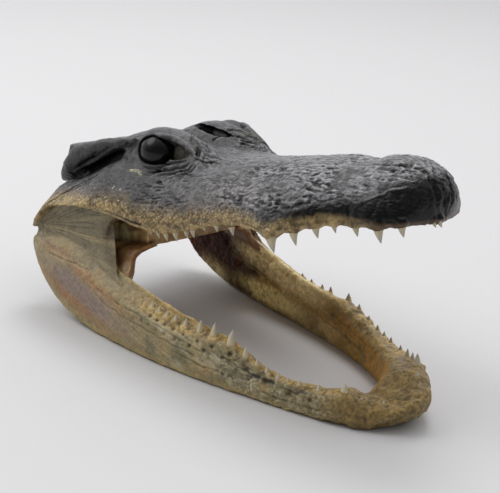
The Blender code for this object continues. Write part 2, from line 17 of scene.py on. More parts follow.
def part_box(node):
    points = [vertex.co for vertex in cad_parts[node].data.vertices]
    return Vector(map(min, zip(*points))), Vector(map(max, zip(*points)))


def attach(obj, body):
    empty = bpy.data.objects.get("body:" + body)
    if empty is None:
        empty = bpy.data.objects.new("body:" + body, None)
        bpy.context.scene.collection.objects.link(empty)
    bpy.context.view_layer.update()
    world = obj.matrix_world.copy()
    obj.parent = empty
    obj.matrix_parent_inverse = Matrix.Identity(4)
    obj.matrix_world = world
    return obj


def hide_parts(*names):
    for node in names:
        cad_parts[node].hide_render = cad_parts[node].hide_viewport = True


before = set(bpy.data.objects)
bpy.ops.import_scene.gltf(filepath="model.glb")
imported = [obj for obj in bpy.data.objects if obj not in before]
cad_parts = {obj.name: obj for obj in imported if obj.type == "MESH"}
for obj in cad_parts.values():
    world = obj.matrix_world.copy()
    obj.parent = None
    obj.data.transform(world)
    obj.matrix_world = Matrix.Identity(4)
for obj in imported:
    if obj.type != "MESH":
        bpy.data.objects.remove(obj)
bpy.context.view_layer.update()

MM = 0.001
BOTH = (-1.0, 1.0)

# ------------------------------------------------- sizes, the same as those of the solids
# The upper head has its own frame (u forwards, y, v up), pitched by the gape about the jaw joint.
GAPE = math.radians(16.0)
JOINT_Z = 0.0330
CHIN_FRONT = 0.1920
SHIFT_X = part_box("chin")[1].x - CHIN_FRONT
JOINT_X = 0.0196 + SHIFT_X

# The upper head's ends, the hollow at its rear, and the arch that closes the snout.
HEAD_REAR = -0.0050
REAR_HOLLOW = 0.0060
ARCH_START = 0.154
SNOUT_TIP = 0.178
ARCH_POWER = 2.05
ARCH_LIMIT = 0.996

# The flat table over the skull's rear, the palate's edge, and where the sections stop.
TABLE_HEIGHT = 0.0308
TABLE_HALF_WIDTH = 0.0250
TABLE_FRONT = 0.034
TABLE_EDGE = (0.0022, 0.0008)
TABLE_SLOPE = (0.008, 0.002)
TABLE_DROOP = 0.0035
HOLLOW_FRONT = 0.020
ROOF_EDGE = (0.35, 0.90)
CROWN_SHARE = 0.992
PALATE_SHARE = 0.97

# Brows and eyes.
BROW_CENTRE = (0.0560, 0.0150)
BROW_RADII = (0.0260, 0.0128)
BROW_RISE = 0.0080
BROW_POWER = 1.15
EYE_CENTRE = (0.0536, 0.0184, 0.0254)
EYE_RADIUS = 0.0078

# The pad of the nostrils.
PAD_CENTRE = (0.161, 0.0)
PAD_RADII = (0.012, 0.013)
PAD_RISE = 0.0012

# Rolls and hollows along the head: (u, y, v, half thickness, half height) in mm.
EAR_SPINE = ((-2.4, 25.0, 17.8, 2.4, 2.4), (3.4, 26.0, 21.4, 3.8, 4.4), (10.5, 26.2, 25.4, 3.5, 4.6),
             (20.5, 25.4, 28.0, 2.8, 3.3), (31.0, 23.8, 29.8, 2.0, 2.2),
             (38.0, 22.8, 30.0, 1.4, 1.6), (44.0, 21.6, 30.6, 0.8, 0.8))
EAR_SWELL = 0.0002
EAR_RECESS = ((-4.0, 29.4, 12.4, 3.4, 2.2), (4.0, 29.8, 15.2, 4.8, 2.8), (12.0, 29.8, 17.8, 5.0, 3.0),
              (20.0, 28.8, 20.4, 4.4, 2.8), (28.0, 27.0, 23.0, 3.2, 2.1), (35.0, 25.8, 25.4, 2.0, 1.3),
              (40.0, 24.8, 27.2, 1.2, 0.8))
NOSTRIL_HOLE = ((170.6, 3.0, 16.4, 0.8, 0.9), (172.2, 4.0, 14.6, 1.2, 1.4), (173.6, 5.2, 12.8, 1.2, 1.4),
                (174.6, 6.2, 11.2, 0.8, 0.8))
BROW_UNDERCUT = ((42.0, 10.8, 33.2, 1.2, 0.8), (47.0, 9.8, 32.2, 2.2, 1.5), (52.0, 8.8, 31.0, 2.6, 1.9),
                 (57.0, 8.2, 29.8, 2.6, 1.9), (62.0, 8.2, 28.6, 2.2, 1.6), (66.5, 8.6, 27.4, 1.2, 0.9))

# The palate's wings, which hang behind the mouth.
WING_SPAN = 0.0250
WING_REAR = 0.0100
WING_FRONT = 0.0505
WING_TOP = 0.0000
WING_LOW = -0.0128
WING_SWEEP = (0.010, 0.001)
WING_DROP = (0.002, 0.0)

# Dried tissue from the palate to the jaw: hollow front edge and rear edge, from the jaw up, in mm.
WEB_FRONT = ((73.6, 37.6, 22.6), (69.8, 33.2, 27.0), (67.3, 31.0, 31.0), (68.1, 29.5, 33.2),
             (69.2, 27.0, 34.8), (70.2, 22.0, 36.4))
WEB_REAR = ((38.0, 39.6, 26.6), (38.0, 34.4, 29.2), (39.0, 31.0, 30.0), (41.0, 28.6, 30.2),
            (43.0, 26.0, 30.2), (45.0, 22.0, 30.2))
WEB_THICKNESS = 0.0014
WEB_OUTWARDS = (0.0, 0.8, 0.6)

# The cheeks: the ends of their edges on the head and on the jaw, and how they bulge, thin and dish.
CHEEK_TOP_REAR = -0.0042
CHEEK_TOP_FRONT = 0.0480
CHEEK_LOW_REAR = 0.0185
CHEEK_LOW_FRONT = 0.0725
CHEEK_LOW_Y = 0.0405
CHEEK_KNOB = 0.0030
CHEEK_OVERLAP = 0.0020
CHEEK_SHARE = 0.90
CHEEK_THICKNESS = 0.0065
CHEEK_THINNING = 0.55
CHEEK_HOLLOW = 0.0125
CHEEK_DISH = 0.12

# The lids. The eye looks along LOOK; the opening is drawn round it from the front over the top:
# (turn, half angle of the opening, how much it widens over the next 5 mm outwards), in degrees.
LID_LOOK = (0.60, 0.78, 0.17)
LID_FORWARD = (0.79, -0.61, 0.0)
LID_EDGE = ((0, 63, -10), (16, 48, -4), (40, 38, 0), (66, 39, -2), (93, 43, -4), (118, 48, -4), (137, 59, 0),
            (156, 73, 2), (180, 76, 4), (203, 64, 4), (225, 52, 4), (247, 45, 4), (282, 44, 4), (305, 53, 0),
            (322, 67, -8), (341, 73, -14))
LID_THICKNESS = 0.0009
LID_REACH = 104.0
# The cut in front of an eye: how far its rings lie from the ball's middle and where it starts to
# widen, in radii, over how many metres it widens as the lids say, and how far it goes on widening.
OPENING_RINGS = (0.2, 0.6, 0.9, 1.15, 1.4, 1.7, 2.1)
OPENING_WIDENS_FROM = 1.15
OPENING_WIDENS_OVER = 0.005
OPENING_WIDENS_TO = 1.4
# The hollow in front of the eye and the dried flesh in it: centre and radii in mm.
EYE_CORNER = ((68.8, 22.0, 24.0), (7.6, 3.0, 1.9))
CORNER_FLESH = ((65.8, 15.6, 23.2), (7.6, 3.4, 5.6))
# Rolls of skin over and under the eye, in mm.
BROW_LEDGE = ((50.0, 22.6, 31.0, 0.5, 0.5), (56.0, 21.8, 31.8, 1.0, 0.8), (61.0, 20.6, 31.2, 1.4, 1.1),
              (66.0, 18.8, 29.2, 1.6, 1.3), (70.5, 18.2, 26.4, 1.5, 1.2), (74.0, 18.4, 23.8, 1.0, 0.9),
              (76.5, 18.8, 22.0, 0.4, 0.4))
LOWER_ROLL = ((75.6, 19.6, 20.6, 0.5, 0.4), (71.0, 23.0, 18.4, 0.9, 0.7), (65.0, 26.0, 16.6, 1.1, 0.8),
              (58.0, 28.0, 16.4, 1.0, 0.7), (51.0, 28.2, 18.4, 0.8, 0.6), (45.0, 27.0, 21.6, 0.5, 0.4))
# Gum that climbs the teeth: the share of a tooth it covers, its foot (times the tooth's radius, plus
# a margin), its upper end (times the radius), and where it starts to narrow (times the root's depth).
SHEATH_SHARE = 0.42
SHEATH_BASE = (1.35, 0.0007)
SHEATH_END = 0.5
SHEATH_BARE_FROM = 0.8
# The lip under the snout's tip lies a little further back than the skin over it.
SNOUT_TUCK = 0.0034
TUCK_FROM = 0.168
TUCK_HEIGHTS = (-0.004, 0.005)
TUCK_POWER = 1.6

# Edge length of the faces of the grown skin.
VOXEL = 0.00042


def profile(*stations):
    """Smooth, never overshooting curve through a few (station, value) pairs in mm."""
    xs = np.array([station for station, _ in stations]) * MM
    ys = np.array([value for _, value in stations]) * MM
    slopes = np.diff(ys) / np.diff(xs)
    before, after = slopes[:-1], slopes[1:]
    total = np.where(before + after == 0.0, 1.0, before + after)
    inner = np.where(before * after > 0.0, 2.0 * before * after / total, 0.0)
    tangents = np.concatenate(([slopes[0]], inner, [slopes[-1]]))

    def value_at(x):
        x = np.clip(x, xs[0], xs[-1])
        i = np.clip(np.searchsorted(xs, x, side="right") - 1, 0, len(xs) - 2)
        width = xs[i + 1] - xs[i]
        t = (x - xs[i]) / width
        ease = t * t * (3.0 - 2.0 * t)
        lead = t * (1.0 - t) ** 2 * width * tangents[i]
        trail = t * t * (t - 1.0) * width * tangents[i + 1]
        return ys[i] * (1.0 - ease) + ys[i + 1] * ease + lead + trail

    return value_at


HEAD_HALF_WIDTH = profile((-5, 43.5), (0, 45.2), (8, 45.6), (22, 44.4), (36, 42.2), (50, 39.8),
                          (65, 37.2), (80, 34.6), (96, 32.2), (110, 31.2), (122, 31.7),
                          (133, 30.0), (146, 24.9), (154, 22.6))
LIP_HEIGHT = profile((-5, -1.5), (0, 2.0), (6, 5.6), (12, 7.6), (22, 7.4), (34, 5.8), (47, 2.4),
                     (58, -1.9), (70, -3.8), (84, -2.7), (100, -1.0), (112, -2.3), (122, -4.9),
                     (134, -3.2), (147, -2.0), (158, -3.0), (168, -3.4), (172, -3.4), (175, -3.9),
                     (178, -4.4))
CROWN_HEIGHT = profile((-5, 27.5), (0, 30.2), (12, 30.8), (34, 30.6), (46, 29.0), (60, 26.0),
                       (76, 22.8), (92, 19.9), (116, 19.4), (132, 19.3), (147, 17.4), (155, 17.8),
                       (165, 16.8), (171, 15.2), (175, 12.4), (177, 9.4), (178, 7.0))
ROOF_HEIGHT = profile((-5, 2.0), (2, -3.0), (30, -5.0), (48, -2.0), (60, 1.0), (90, 3.0),
                      (140, 2.5), (163, 1.0), (169, 0.0), (173, -3.0), (178, -4.6))
# How full the sections are: powers of a superellipse, in thousandths.
SIDE_POWER = profile((-5, 1500), (20, 1500), (45, 2300), (60, 2500), (100, 2300), (178, 2400))
TOP_POWER = profile((-5, 1150), (20, 1150), (45, 1850), (60, 2000), (178, 2100))

# Teeth: place along, length and radius in mm. The front ones have their place across after the first.
UPPER_TEETH = ((62.8, 2.1, 0.8), (66.5, 2.7, 0.9), (70.3, 3.7, 1.1), (75, 4.0, 1.2), (80.3, 3.5, 1.1),
               (83.4, 3.6, 1.1), (88.8, 1.7, 0.9), (94.8, 2.9, 1.1), (102.3, 4.5, 1.3),
               (109.5, 1.4, 1.0), (122.5, 6.4, 2.1), (132.3, 5.4, 1.6), (140.3, 4.1, 1.5),
               (146.5, 3.1, 1.1), (154.3, 3.8, 1.4), (163, 5.6, 1.8), (169.8, 4.0, 1.5))
FRONT_TEETH = ((174.6, -3.5, 1.9, 0.9), (175.0, -1.0, 2.1, 1.2), (173.0, -7.2, 1.0, 0.6))
# The left side has lost its upper teeth ahead of this place.
LOST_LEFT = 160.0

# The lower jaw in plan: x and y of its outer and its inner edge, in mm, from the rear to the chin.
JAW_PLAN = ((18.5, 44.6, 20.5, 38.5), (27, 46.0, 28, 37.5), (42, 46.0, 42, 36.5), (60, 45.4, 58, 34.8),
            (78, 44.7, 75, 33.0), (97, 42.9, 93, 31.4), (115, 39.6, 111, 29.6), (132, 35.3, 128, 26.6),
            (147, 30.6, 143, 22.4), (159, 26.8, 154, 17.6), (171.5, 22.2, 162, 12.0),
            (182.5, 15.2, 166.6, 6.0), (189.4, 7.8, 167.8, 2.6), (192.0, 0.0, 168.0, 0.0))
OUTER_UNDERSIDE = profile((14, 30.0), (19, 24.0), (25, 16.5), (34, 8.6), (48, 2.6), (60, 0.4), (66, 0.0),
                          (184, 0.0))
INNER_UNDERSIDE = profile((14, 18.0), (20, 10.0), (34, 3.6), (46, 1.2), (58, 0.0), (184, 0.0))
GUM_HEIGHT_RIGHT = profile((12, 28.0), (20, 30.4), (30, 31.4), (44, 31.0), (56, 29.0), (70, 26.0),
                           (84, 23.4), (98, 21.2), (112, 19.8), (124, 19.0), (133, 15.8), (142, 12.0),
                           (152, 10.2), (164, 10.4), (171, 11.6), (178, 9.2), (184, 9.4), (192, 14.0))
GUM_HEIGHT_LEFT = profile((12, 28.0), (20, 30.4), (30, 31.4), (44, 31.0), (56, 29.0), (70, 26.0),
                          (84, 23.0), (98, 20.6), (112, 19.8), (124, 19.6), (134, 17.4), (144, 15.6),
                          (156, 14.6), (168, 15.2), (179, 16.6), (192, 14.0))
# The jaw's outline at a place, from the keel out and up: shares of its thickness and of its height.
JAW_REAR_SECTION = ((0.26, 0.0), (0.66, 0.0), (0.90, 0.04), (0.99, 0.22), (1.0, 0.46), (0.97, 0.64),
                    (0.90, 0.76), (0.72, 0.84), (0.46, 0.96), (0.26, 1.0), (0.10, 0.84), (0.03, 0.46),
                    (0.08, 0.16))
JAW_FRONT_SECTION = ((0.26, 0.0), (0.62, 0.0), (0.88, 0.05), (0.99, 0.26), (1.0, 0.52), (0.97, 0.78),
                     (0.88, 0.94), (0.72, 1.0), (0.46, 1.0), (0.24, 0.92), (0.10, 0.74), (0.03, 0.46),
                     (0.08, 0.18))
# The rear section turns into the front one between these places.
LEVEL_FROM = 0.104
LEVEL_BY = 0.134
CHIN_LIFT = 0.0050
CHIN_LIFT_FROM = 0.176
CHIN_ROUND_FROM = 0.170
GUM_BLEND = 0.0085
CREST_CORNER = 7
CREST_REAR_SHARE = 0.55
CREST_FRONT_SHARE = 0.10
# The lower teeth: place along, height over the gum and radius in mm.
LOWER_TEETH_RIGHT = ((90, 2.2, 0.9), (93.8, 2.0, 0.9), (97.8, 2.0, 1.0), (102, 2.4, 1.0), (107, 3.0, 1.1),
                     (114, 4.9, 1.2), (120.5, 5.7, 1.4), (128.5, 5.9, 1.7), (134.8, 3.7, 1.3),
                     (139.6, 2.9, 1.1), (143.6, 2.5, 1.1), (148, 2.4, 1.1), (151.6, 1.8, 1.1),
                     (155.8, 2.4, 1.1), (162.8, 2.5, 1.2), (171, 3.9, 1.8), (176, 1.6, 1.2),
                     (181.5, 1.4, 1.1))
LOWER_TEETH_LEFT = ((94, 1.4, 0.9), (100, 1.6, 1.0), (107, 2.3, 1.0), (112.3, 3.2, 1.1), (123.8, 3.8, 1.6),
                    (131, 2.5, 1.2), (138.2, 2.2, 1.1), (144.8, 2.3, 1.0), (149.6, 2.1, 1.0),
                    (154.6, 2.4, 1.0), (161.8, 2.4, 1.0), (167, 3.2, 1.0), (171.6, 3.4, 1.1),
                    (177.2, 5.4, 1.7), (182.2, 2.2, 1.1))
TOOTH_ROOT = 0.0022
TOOTH_FULLNESS = 1.10
TOOTH_SWELL = 0.00035
TOOTH_NECK = 0.25
UPPER_TOOTH_INSET = 0.0029


# ---------------------------------------------------------------------- small helpers
def smoothstep(low, high, x):
    t = np.clip((x - low) / (high - low), 0.0, 1.0)
    return t * t * (3.0 - 2.0 * t)


def fading(low, high, x):
    """1 below the lower limit and 0 above the upper one."""
    return 1.0 - smoothstep(low, high, x)


def clamped(values):
    """Values held from 0 to 1."""
    return np.clip(values, 0.0, 1.0)


def band(x, low, high, soft):
    """1 between two limits, fading out over a soft edge on both sides."""
    return smoothstep(low - soft, low + soft, x) * fading(high - soft, high + soft, x)


def spot(a, b, centre, radii):
    """A soft round patch, 1 at its centre."""
    return np.exp(-(((a - centre[0]) / radii[0]) ** 2 + ((b - centre[1]) / radii[1]) ** 2))


def mixed(first, second, share):
    """Blend two colours, or a field of colours, by a field of shares held from 0 to 1."""
    return first + (np.asarray(second) - first) * clamped(share)[..., None]


def darkened(colours, share):
    """A field of colours that loses a share of its light."""
    return colours * (1.0 - share)[:, None]


def srgb(red, green, blue):
    """Linear colour of an 8-bit one."""
    channels = np.array([red, green, blue]) / 255.0
    return np.where(channels <= 0.04045, channels / 12.92, ((channels + 0.055) / 1.055) ** 2.4)


def from_head(u, y, v):
    """World place of points given in the pitched frame of the upper head."""
    x = JOINT_X + u * math.cos(GAPE) - v * math.sin(GAPE)
    z = JOINT_Z + u * math.sin(GAPE) + v * math.cos(GAPE)
    return np.stack(np.broadcast_arrays(x, y, z), axis=-1)


def to_head(points):
    """Place in the frame of the upper head, as (u, y, v)."""
    dx = points[:, 0] - JOINT_X
    dz = points[:, 2] - JOINT_Z
    u = dx * math.cos(GAPE) + dz * math.sin(GAPE)
    v = dz * math.cos(GAPE) - dx * math.sin(GAPE)
    return np.stack((u, points[:, 1], v), axis=1)


# ------------------------------------------------------------------------------ noise
# Large primes that scatter the numbers of the cells.
PRIMES = (374761393, 668265263, 2246822519, 3266489917)


def lattice(i, j, k, seed):
    """A repeatable random number from 0 to 1 for each cell of a grid."""
    first, second, third, fourth = (np.uint32(prime) for prime in PRIMES)
    h = (i.astype(np.uint32) * first + j.astype(np.uint32) * second + k.astype(np.uint32) * third
         + np.uint32((seed * PRIMES[3]) % 2 ** 32))
    h = (h ^ (h >> np.uint32(15))) * third
    h = (h ^ (h >> np.uint32(13))) * fourth
    return (h ^ (h >> np.uint32(16))).astype(np.float64) / 2.0 ** 32


def noise(points, size, seed=0, stretch=(1.0, 1.0, 1.0)):
    """Soft random field from -1 to 1 with features of about the given size."""
    q = points / (size * np.array(stretch))
    cell = np.floor(q)
    part = q - cell
    part = part ** 3 * (part * (part * 6.0 - 15.0) + 10.0)
    cell = cell.astype(np.int64)
    total = 0.0
    for a in (0, 1):
        wa = part[:, 0] if a else 1.0 - part[:, 0]
        for b in (0, 1):
            wb = part[:, 1] if b else 1.0 - part[:, 1]
            for c in (0, 1):
                wc = part[:, 2] if c else 1.0 - part[:, 2]
                total = total + wa * wb * wc * lattice(cell[:, 0] + a, cell[:, 1] + b, cell[:, 2] + c, seed)
    return 2.0 * total - 1.0


def layered(points, size, octaves, seed=0, stretch=(1.0, 1.0, 1.0)):
    """Several sizes of noise added up, from -1 to 1."""
    total = 0.0
    reach = 0.0
    for octave in range(octaves):
        weight = 0.5 ** octave
        total = total + weight * noise(points, size * 0.5 ** octave, seed + 17 * octave, stretch)
        reach += weight
    return total / reach


def wrinkles(points, size, seed, stretch=(1.0, 1.0, 1.0), sharp=6.0):
    """Thin lines, 1 along each line and 0 away from it."""
    return np.exp(-(sharp * noise(points, size, seed, stretch)) ** 2)


def cells(points, size, seed, jitter=0.9):
    """Distance to the nearest and second nearest of scattered seeds, and the nearest's own number."""
    q = points / size
    cell = np.floor(q).astype(np.int64)
    nearest = np.full(len(q), 9.0)
    second = np.full(len(q), 9.0)
    number = np.zeros(len(q))
    for a in (-1, 0, 1):
        for b in (-1, 0, 1):
            for c in (-1, 0, 1):
                corner = cell + (a, b, c)
                offset = [lattice(corner[:, 0], corner[:, 1], corner[:, 2], seed + axis) for axis in range(3)]
                centre = corner + 0.5 + jitter * (np.stack(offset, axis=1) - 0.5)
                distance = np.linalg.norm(q - centre, axis=1)
                closer = distance < nearest
                second = np.where(closer, nearest, np.minimum(second, distance))
                number = np.where(closer, offset[0], number)
                nearest = np.where(closer, distance, nearest)
    return nearest, second, number


# ------------------------------------------------------------- smooth forms of the head
def bump(u, y, centre, radii):
    """A rounded mound, 1 at its centre and 0 at its rim."""
    reach = ((u - centre[0]) / radii[0]) ** 2 + ((y - centre[1]) / radii[1]) ** 2
    return np.maximum(0.0, 1.0 - reach) ** BROW_POWER


def half_width(u):
    """Plan of the upper head: the premaxilla closes the snout in a round arch."""
    along = np.clip((u - ARCH_START) / (SNOUT_TIP - ARCH_START), 0.0, ARCH_LIMIT)
    arch = HEAD_HALF_WIDTH(ARCH_START) * (1.0 - along ** ARCH_POWER) ** (1.0 / ARCH_POWER)
    return np.where(u <= ARCH_START, HEAD_HALF_WIDTH(u), arch)


def crown_surface(u, share):
    """Height of the skin over the skull at a share of the half width."""
    y = share * half_width(u)
    lip = LIP_HEIGHT(u)
    v = lip + (CROWN_HEIGHT(u) - lip) * (1.0 - share ** SIDE_POWER(u)) ** (1.0 / TOP_POWER(u))
    on_table = fading(TABLE_HALF_WIDTH - TABLE_EDGE[1], TABLE_HALF_WIDTH + TABLE_EDGE[0], y)
    on_table = on_table * fading(TABLE_FRONT - TABLE_SLOPE[1], TABLE_FRONT + TABLE_SLOPE[0], u)
    table = TABLE_HEIGHT - TABLE_DROOP * fading(HEAD_REAR, 0.5 * HEAD_REAR, u)
    v = v + np.maximum(0.0, table - v) * on_table
    v = v + BROW_RISE * bump(u, y, BROW_CENTRE, BROW_RADII)
    return v + PAD_RISE * bump(u, y, PAD_CENTRE, PAD_RADII)


def head_form(along=220, tip=48, crown=84, under=36):
    """Rings of the upper head, each from the right lip over the crown and back under the palate."""
    steps = np.linspace(0.0, 0.5 * math.pi, tip)
    u = np.concatenate((np.linspace(HEAD_REAR, ARCH_START, along)[:-1],
                        ARCH_START + (SNOUT_TIP - ARCH_START) * np.sin(steps)))[:, None]
    over = np.sin(np.linspace(0.0, 0.5 * math.pi, crown))[None, :] * CROWN_SHARE
    below = np.linspace(0.0, PALATE_SHARE, under)[None, :]
    width = half_width(u)
    lip = LIP_HEIGHT(u)
    top = crown_surface(u, over)
    roof = lip + (ROOF_HEIGHT(u) - lip) * fading(*ROOF_EDGE, below)
    share = np.concatenate((-over[:, ::-1], over[:, 1:], below[:, ::-1], -below[:, 1:]), axis=1)
    height = np.concatenate((top[:, ::-1], top[:, 1:], roof[:, ::-1], roof[:, 1:]), axis=1)
    hollow = REAR_HOLLOW * fading(HEAD_REAR, HOLLOW_FRONT, u)
    lower = np.zeros_like(share)
    lower[:, 2 * over.shape[1] - 1:] = 1.0
    lowness = clamped((TUCK_HEIGHTS[1] - height) / (TUCK_HEIGHTS[1] - TUCK_HEIGHTS[0]))
    tuck = SNOUT_TUCK * smoothstep(TUCK_FROM, SNOUT_TIP, u) * lowness ** TUCK_POWER
    rings = from_head(u + hollow * (1.0 - share ** 4) - tuck, share * width, height)
    return rings, np.broadcast_to(u, height.shape), np.broadcast_to(lower, height.shape)


def between(a, b, c, d, s):
    """Catmull-Rom curve from row b to row c, for s from 0 to 1."""
    return b + 0.5 * s * (c - a + s * (2.0 * a - 5.0 * b + 4.0 * c - d + s * (3.0 * (b - c) + d - a)))


def spline(points, t):
    """Smooth curve through the rows of a table, t counting whole rows."""
    rows = np.array(points, dtype=float)
    rows = np.vstack((2.0 * rows[0] - rows[1], rows, rows[-1]))
    i = np.clip(np.floor(t).astype(int), 0, len(rows) - 4)
    return between(rows[i], rows[i + 1], rows[i + 2], rows[i + 3], (t - i)[:, None])


def closed_spline(points, t):
    """The same curve round a closed row of points."""
    rows = np.array(points, dtype=float)
    count = len(rows)
    i = np.floor(t).astype(int)
    a, b, c, d = (rows[(i + shift) % count] for shift in (-1, 0, 1, 2))
    return between(a, b, c, d, (t - i)[:, None])


def jaw_surface(t, w, side):
    """The lower jaw at places t along its plan and w round its section."""
    plan = spline(JAW_PLAN, t) * MM
    outer_x, outer_y, inner_x, inner_y = (plan[:, k][:, None] for k in range(4))
    rear = closed_spline(JAW_REAR_SECTION, w)
    front = closed_spline(JAW_FRONT_SECTION, w)
    middle = 0.5 * (outer_x + inner_x)
    level = smoothstep(LEVEL_FROM, LEVEL_BY, middle)
    share = rear[:, 0] + (front[:, 0] - rear[:, 0]) * level
    height = rear[:, 1] + (front[:, 1] - rear[:, 1]) * level
    x = inner_x + (outer_x - inner_x) * share
    y = inner_y + (outer_y - inner_y) * share
    along = np.where(outer_x > CHIN_ROUND_FROM, np.maximum(middle, np.minimum(x, outer_x)), middle)
    leftness = smoothstep(-GUM_BLEND, GUM_BLEND, side * y)
    gum = GUM_HEIGHT_RIGHT(along) + (GUM_HEIGHT_LEFT(along) - GUM_HEIGHT_RIGHT(along)) * leftness
    under = INNER_UNDERSIDE(middle) + (OUTER_UNDERSIDE(middle) - INNER_UNDERSIDE(middle)) * share
    under = under + CHIN_LIFT * smoothstep(CHIN_LIFT_FROM, CHIN_FRONT, x) * smoothstep(0.5, 1.0, share)
    z = np.maximum(under + (gum - under) * height, 0.0)
    return np.stack(np.broadcast_arrays(x + SHIFT_X, side * y, z), axis=-1)


def gum_point(x, side):
    """Middle of the tooth row at a given place along the jaw."""
    t = np.linspace(0.0, len(JAW_PLAN) - 1.0, 1500)
    crest = jaw_surface(t, np.array([CREST_CORNER, CREST_CORNER + 1.0]), side)
    level = smoothstep(LEVEL_FROM, LEVEL_BY, x)
    place = crest[:, 0] + (crest[:, 1] - crest[:, 0]) * (
        CREST_REAR_SHARE + (CREST_FRONT_SHARE - CREST_REAR_SHARE) * level)
    return place[np.argmin(np.abs(place[:, 0] - (x + SHIFT_X)))]


def upper_teeth():
    """Root, tip, radius and side of every tooth of the upper row."""
    for side in BOTH:
        for place, length, radius in UPPER_TEETH:
            if side > 0.0 and place > LOST_LEFT:
                continue
            across = side * (half_width(place * MM) - UPPER_TOOTH_INSET)
            lip = LIP_HEIGHT(place * MM)
            tip = from_head((place + 0.4) * MM, across + side * 0.3 * MM, lip - length * MM)
            yield from_head(place * MM, across, lip + TOOTH_ROOT), tip, radius * MM, side
    for place, across, length, radius in FRONT_TEETH:
        lip = LIP_HEIGHT(place * MM)
        tip = from_head((place + 0.4) * MM, across * MM, lip - length * MM)
        root = from_head((place - 0.8) * MM, across * MM, lip + TOOTH_ROOT)
        yield root, tip, radius * MM, math.copysign(1.0, across)


def gum_sheath(root, tip, radius, sides=16, rows=12):
    """A cone of gum that climbs a little way up a tooth and ends inside it."""
    axis = (tip - root) / np.linalg.norm(tip - root)
    across = np.cross(axis, (1.0, 0.0, 0.0))
    across = across / np.linalg.norm(across)
    third = np.cross(axis, across)
    reach = TOOTH_ROOT + SHEATH_SHARE * (np.linalg.norm(tip - root) - TOOTH_ROOT)
    share = np.linspace(0.0, 1.0, rows)[:, None]
    base_size = SHEATH_BASE[0] * radius + SHEATH_BASE[1]
    foot = SHEATH_BARE_FROM * TOOTH_ROOT
    bare = clamped((share * reach - foot) / (reach - foot))
    size = SHEATH_END * radius + (base_size - SHEATH_END * radius) * (1.0 - bare) ** 1.5
    turn = np.linspace(0.0, 2.0 * math.pi, sides, endpoint=False)[None, :]
    middle = root + axis * (share * (reach + 0.5 * MM) - 0.5 * MM)
    return (middle[:, None] + (size * np.cos(turn))[..., None] * across
            + (size * np.sin(turn))[..., None] * third)


def lower_teeth():
    """Root, tip, radius and side of every tooth of the lower row."""
    for side, teeth in ((-1.0, LOWER_TEETH_RIGHT), (1.0, LOWER_TEETH_LEFT)):
        for place, height, radius in teeth:
            gum = gum_point(place * MM, side)
            tip = gum + np.array((0.0, side * 0.4 * MM, height * MM))
            yield gum - np.array((0.0, 0.0, TOOTH_ROOT)), tip, radius * MM, side


def tube_form(spine, side, sides=28, steps=14, swell=0.0):
    """A soft roll along a spine of (u, y, v, half thickness, half height) in mm."""
    t = np.linspace(0.0, len(spine) - 1.0, steps * (len(spine) - 1) + 1)
    u, y, v, across, tall = (spline(spine, t)[:, k][:, None] * MM for k in range(5))
    angle = np.linspace(0.0, 2.0 * math.pi, sides, endpoint=False)[None, :]
    return from_head(u, side * (y + (across + swell) * np.cos(angle)), v + (tall + swell) * np.sin(angle))


def cheek_form(side, steps=60, rows=30):
    """Dried skin and muscle that close the jaw corner, from the joint to a hollow front edge."""
    t = np.linspace(0.0, 1.0, steps)[:, None]
    s = np.linspace(0.0, 1.0, rows)[None, :]
    u = CHEEK_TOP_REAR + (CHEEK_TOP_FRONT - CHEEK_TOP_REAR) * t
    x = CHEEK_LOW_REAR + (CHEEK_LOW_FRONT - CHEEK_LOW_REAR) * t
    knob = CHEEK_KNOB * fading(0.0, 0.35, t)
    top = from_head(u, CHEEK_SHARE * half_width(u) + knob, LIP_HEIGHT(u) + CHEEK_OVERLAP)
    low = np.stack(np.broadcast_arrays(x + SHIFT_X, CHEEK_LOW_Y + knob,
                                       GUM_HEIGHT_RIGHT(x) - CHEEK_OVERLAP), axis=-1)
    outer = top + (low - top) * s[..., None]
    hollow = 4.0 * s * (1.0 - s) * CHEEK_HOLLOW
    outer = outer - np.stack(np.broadcast_arrays(hollow * t * t, CHEEK_DISH * hollow, 0.0), axis=-1)
    thickness = CHEEK_THICKNESS * (1.0 - CHEEK_THINNING * t)
    inner = outer[:, ::-1] - np.stack(np.broadcast_arrays(0.0, thickness, 0.0), axis=-1)
    rings = np.concatenate((outer, inner), axis=1)
    rings[..., 1] *= side
    return rings


def wings_form(steps=50):
    """Wings of the palate that hang behind the mouth."""
    y = np.linspace(-WING_SPAN, WING_SPAN, steps)[:, None]
    out = np.abs(y) / WING_SPAN
    rear = WING_REAR + WING_SWEEP[0] * out
    front = WING_FRONT - WING_SWEEP[1] * out
    top = WING_TOP - WING_DROP[0] * out
    low = WING_LOW - WING_DROP[1] * out
    corners = ((rear, top), (front, top), (front - 1.0 * MM, 0.5 * (top + low)),
               (front - 2.0 * MM, low + 1.5 * MM), (0.5 * (rear + front), low),
               (rear + 4.0 * MM, low + 2.0 * MM))
    u = np.concatenate([corner[0] for corner in corners], axis=1)
    v = np.concatenate([corner[1] for corner in corners], axis=1)
    return from_head(u, y, v)


def web_form(side, steps=26, rows=20):
    """Dried tissue that closes the mouth's rear between the palate and the jaw."""
    across = np.linspace(0.0, len(WEB_FRONT) - 1.0, rows)
    front, rear = spline(WEB_FRONT, across) * MM, spline(WEB_REAR, across) * MM
    sheet = front + (rear - front) * np.linspace(0.0, 1.0, steps)[:, None, None]
    sheet[..., 0] += SHIFT_X
    thick = np.array(WEB_OUTWARDS) * WEB_THICKNESS
    rings = np.concatenate((sheet + thick, sheet[:, ::-1] - thick), axis=1)
    rings[..., 1] *= side
    return rings


# ------------------------------------------------------------------------------ the eyes
def unit(vector):
    vector = np.array(vector, dtype=float)
    return vector / np.linalg.norm(vector)


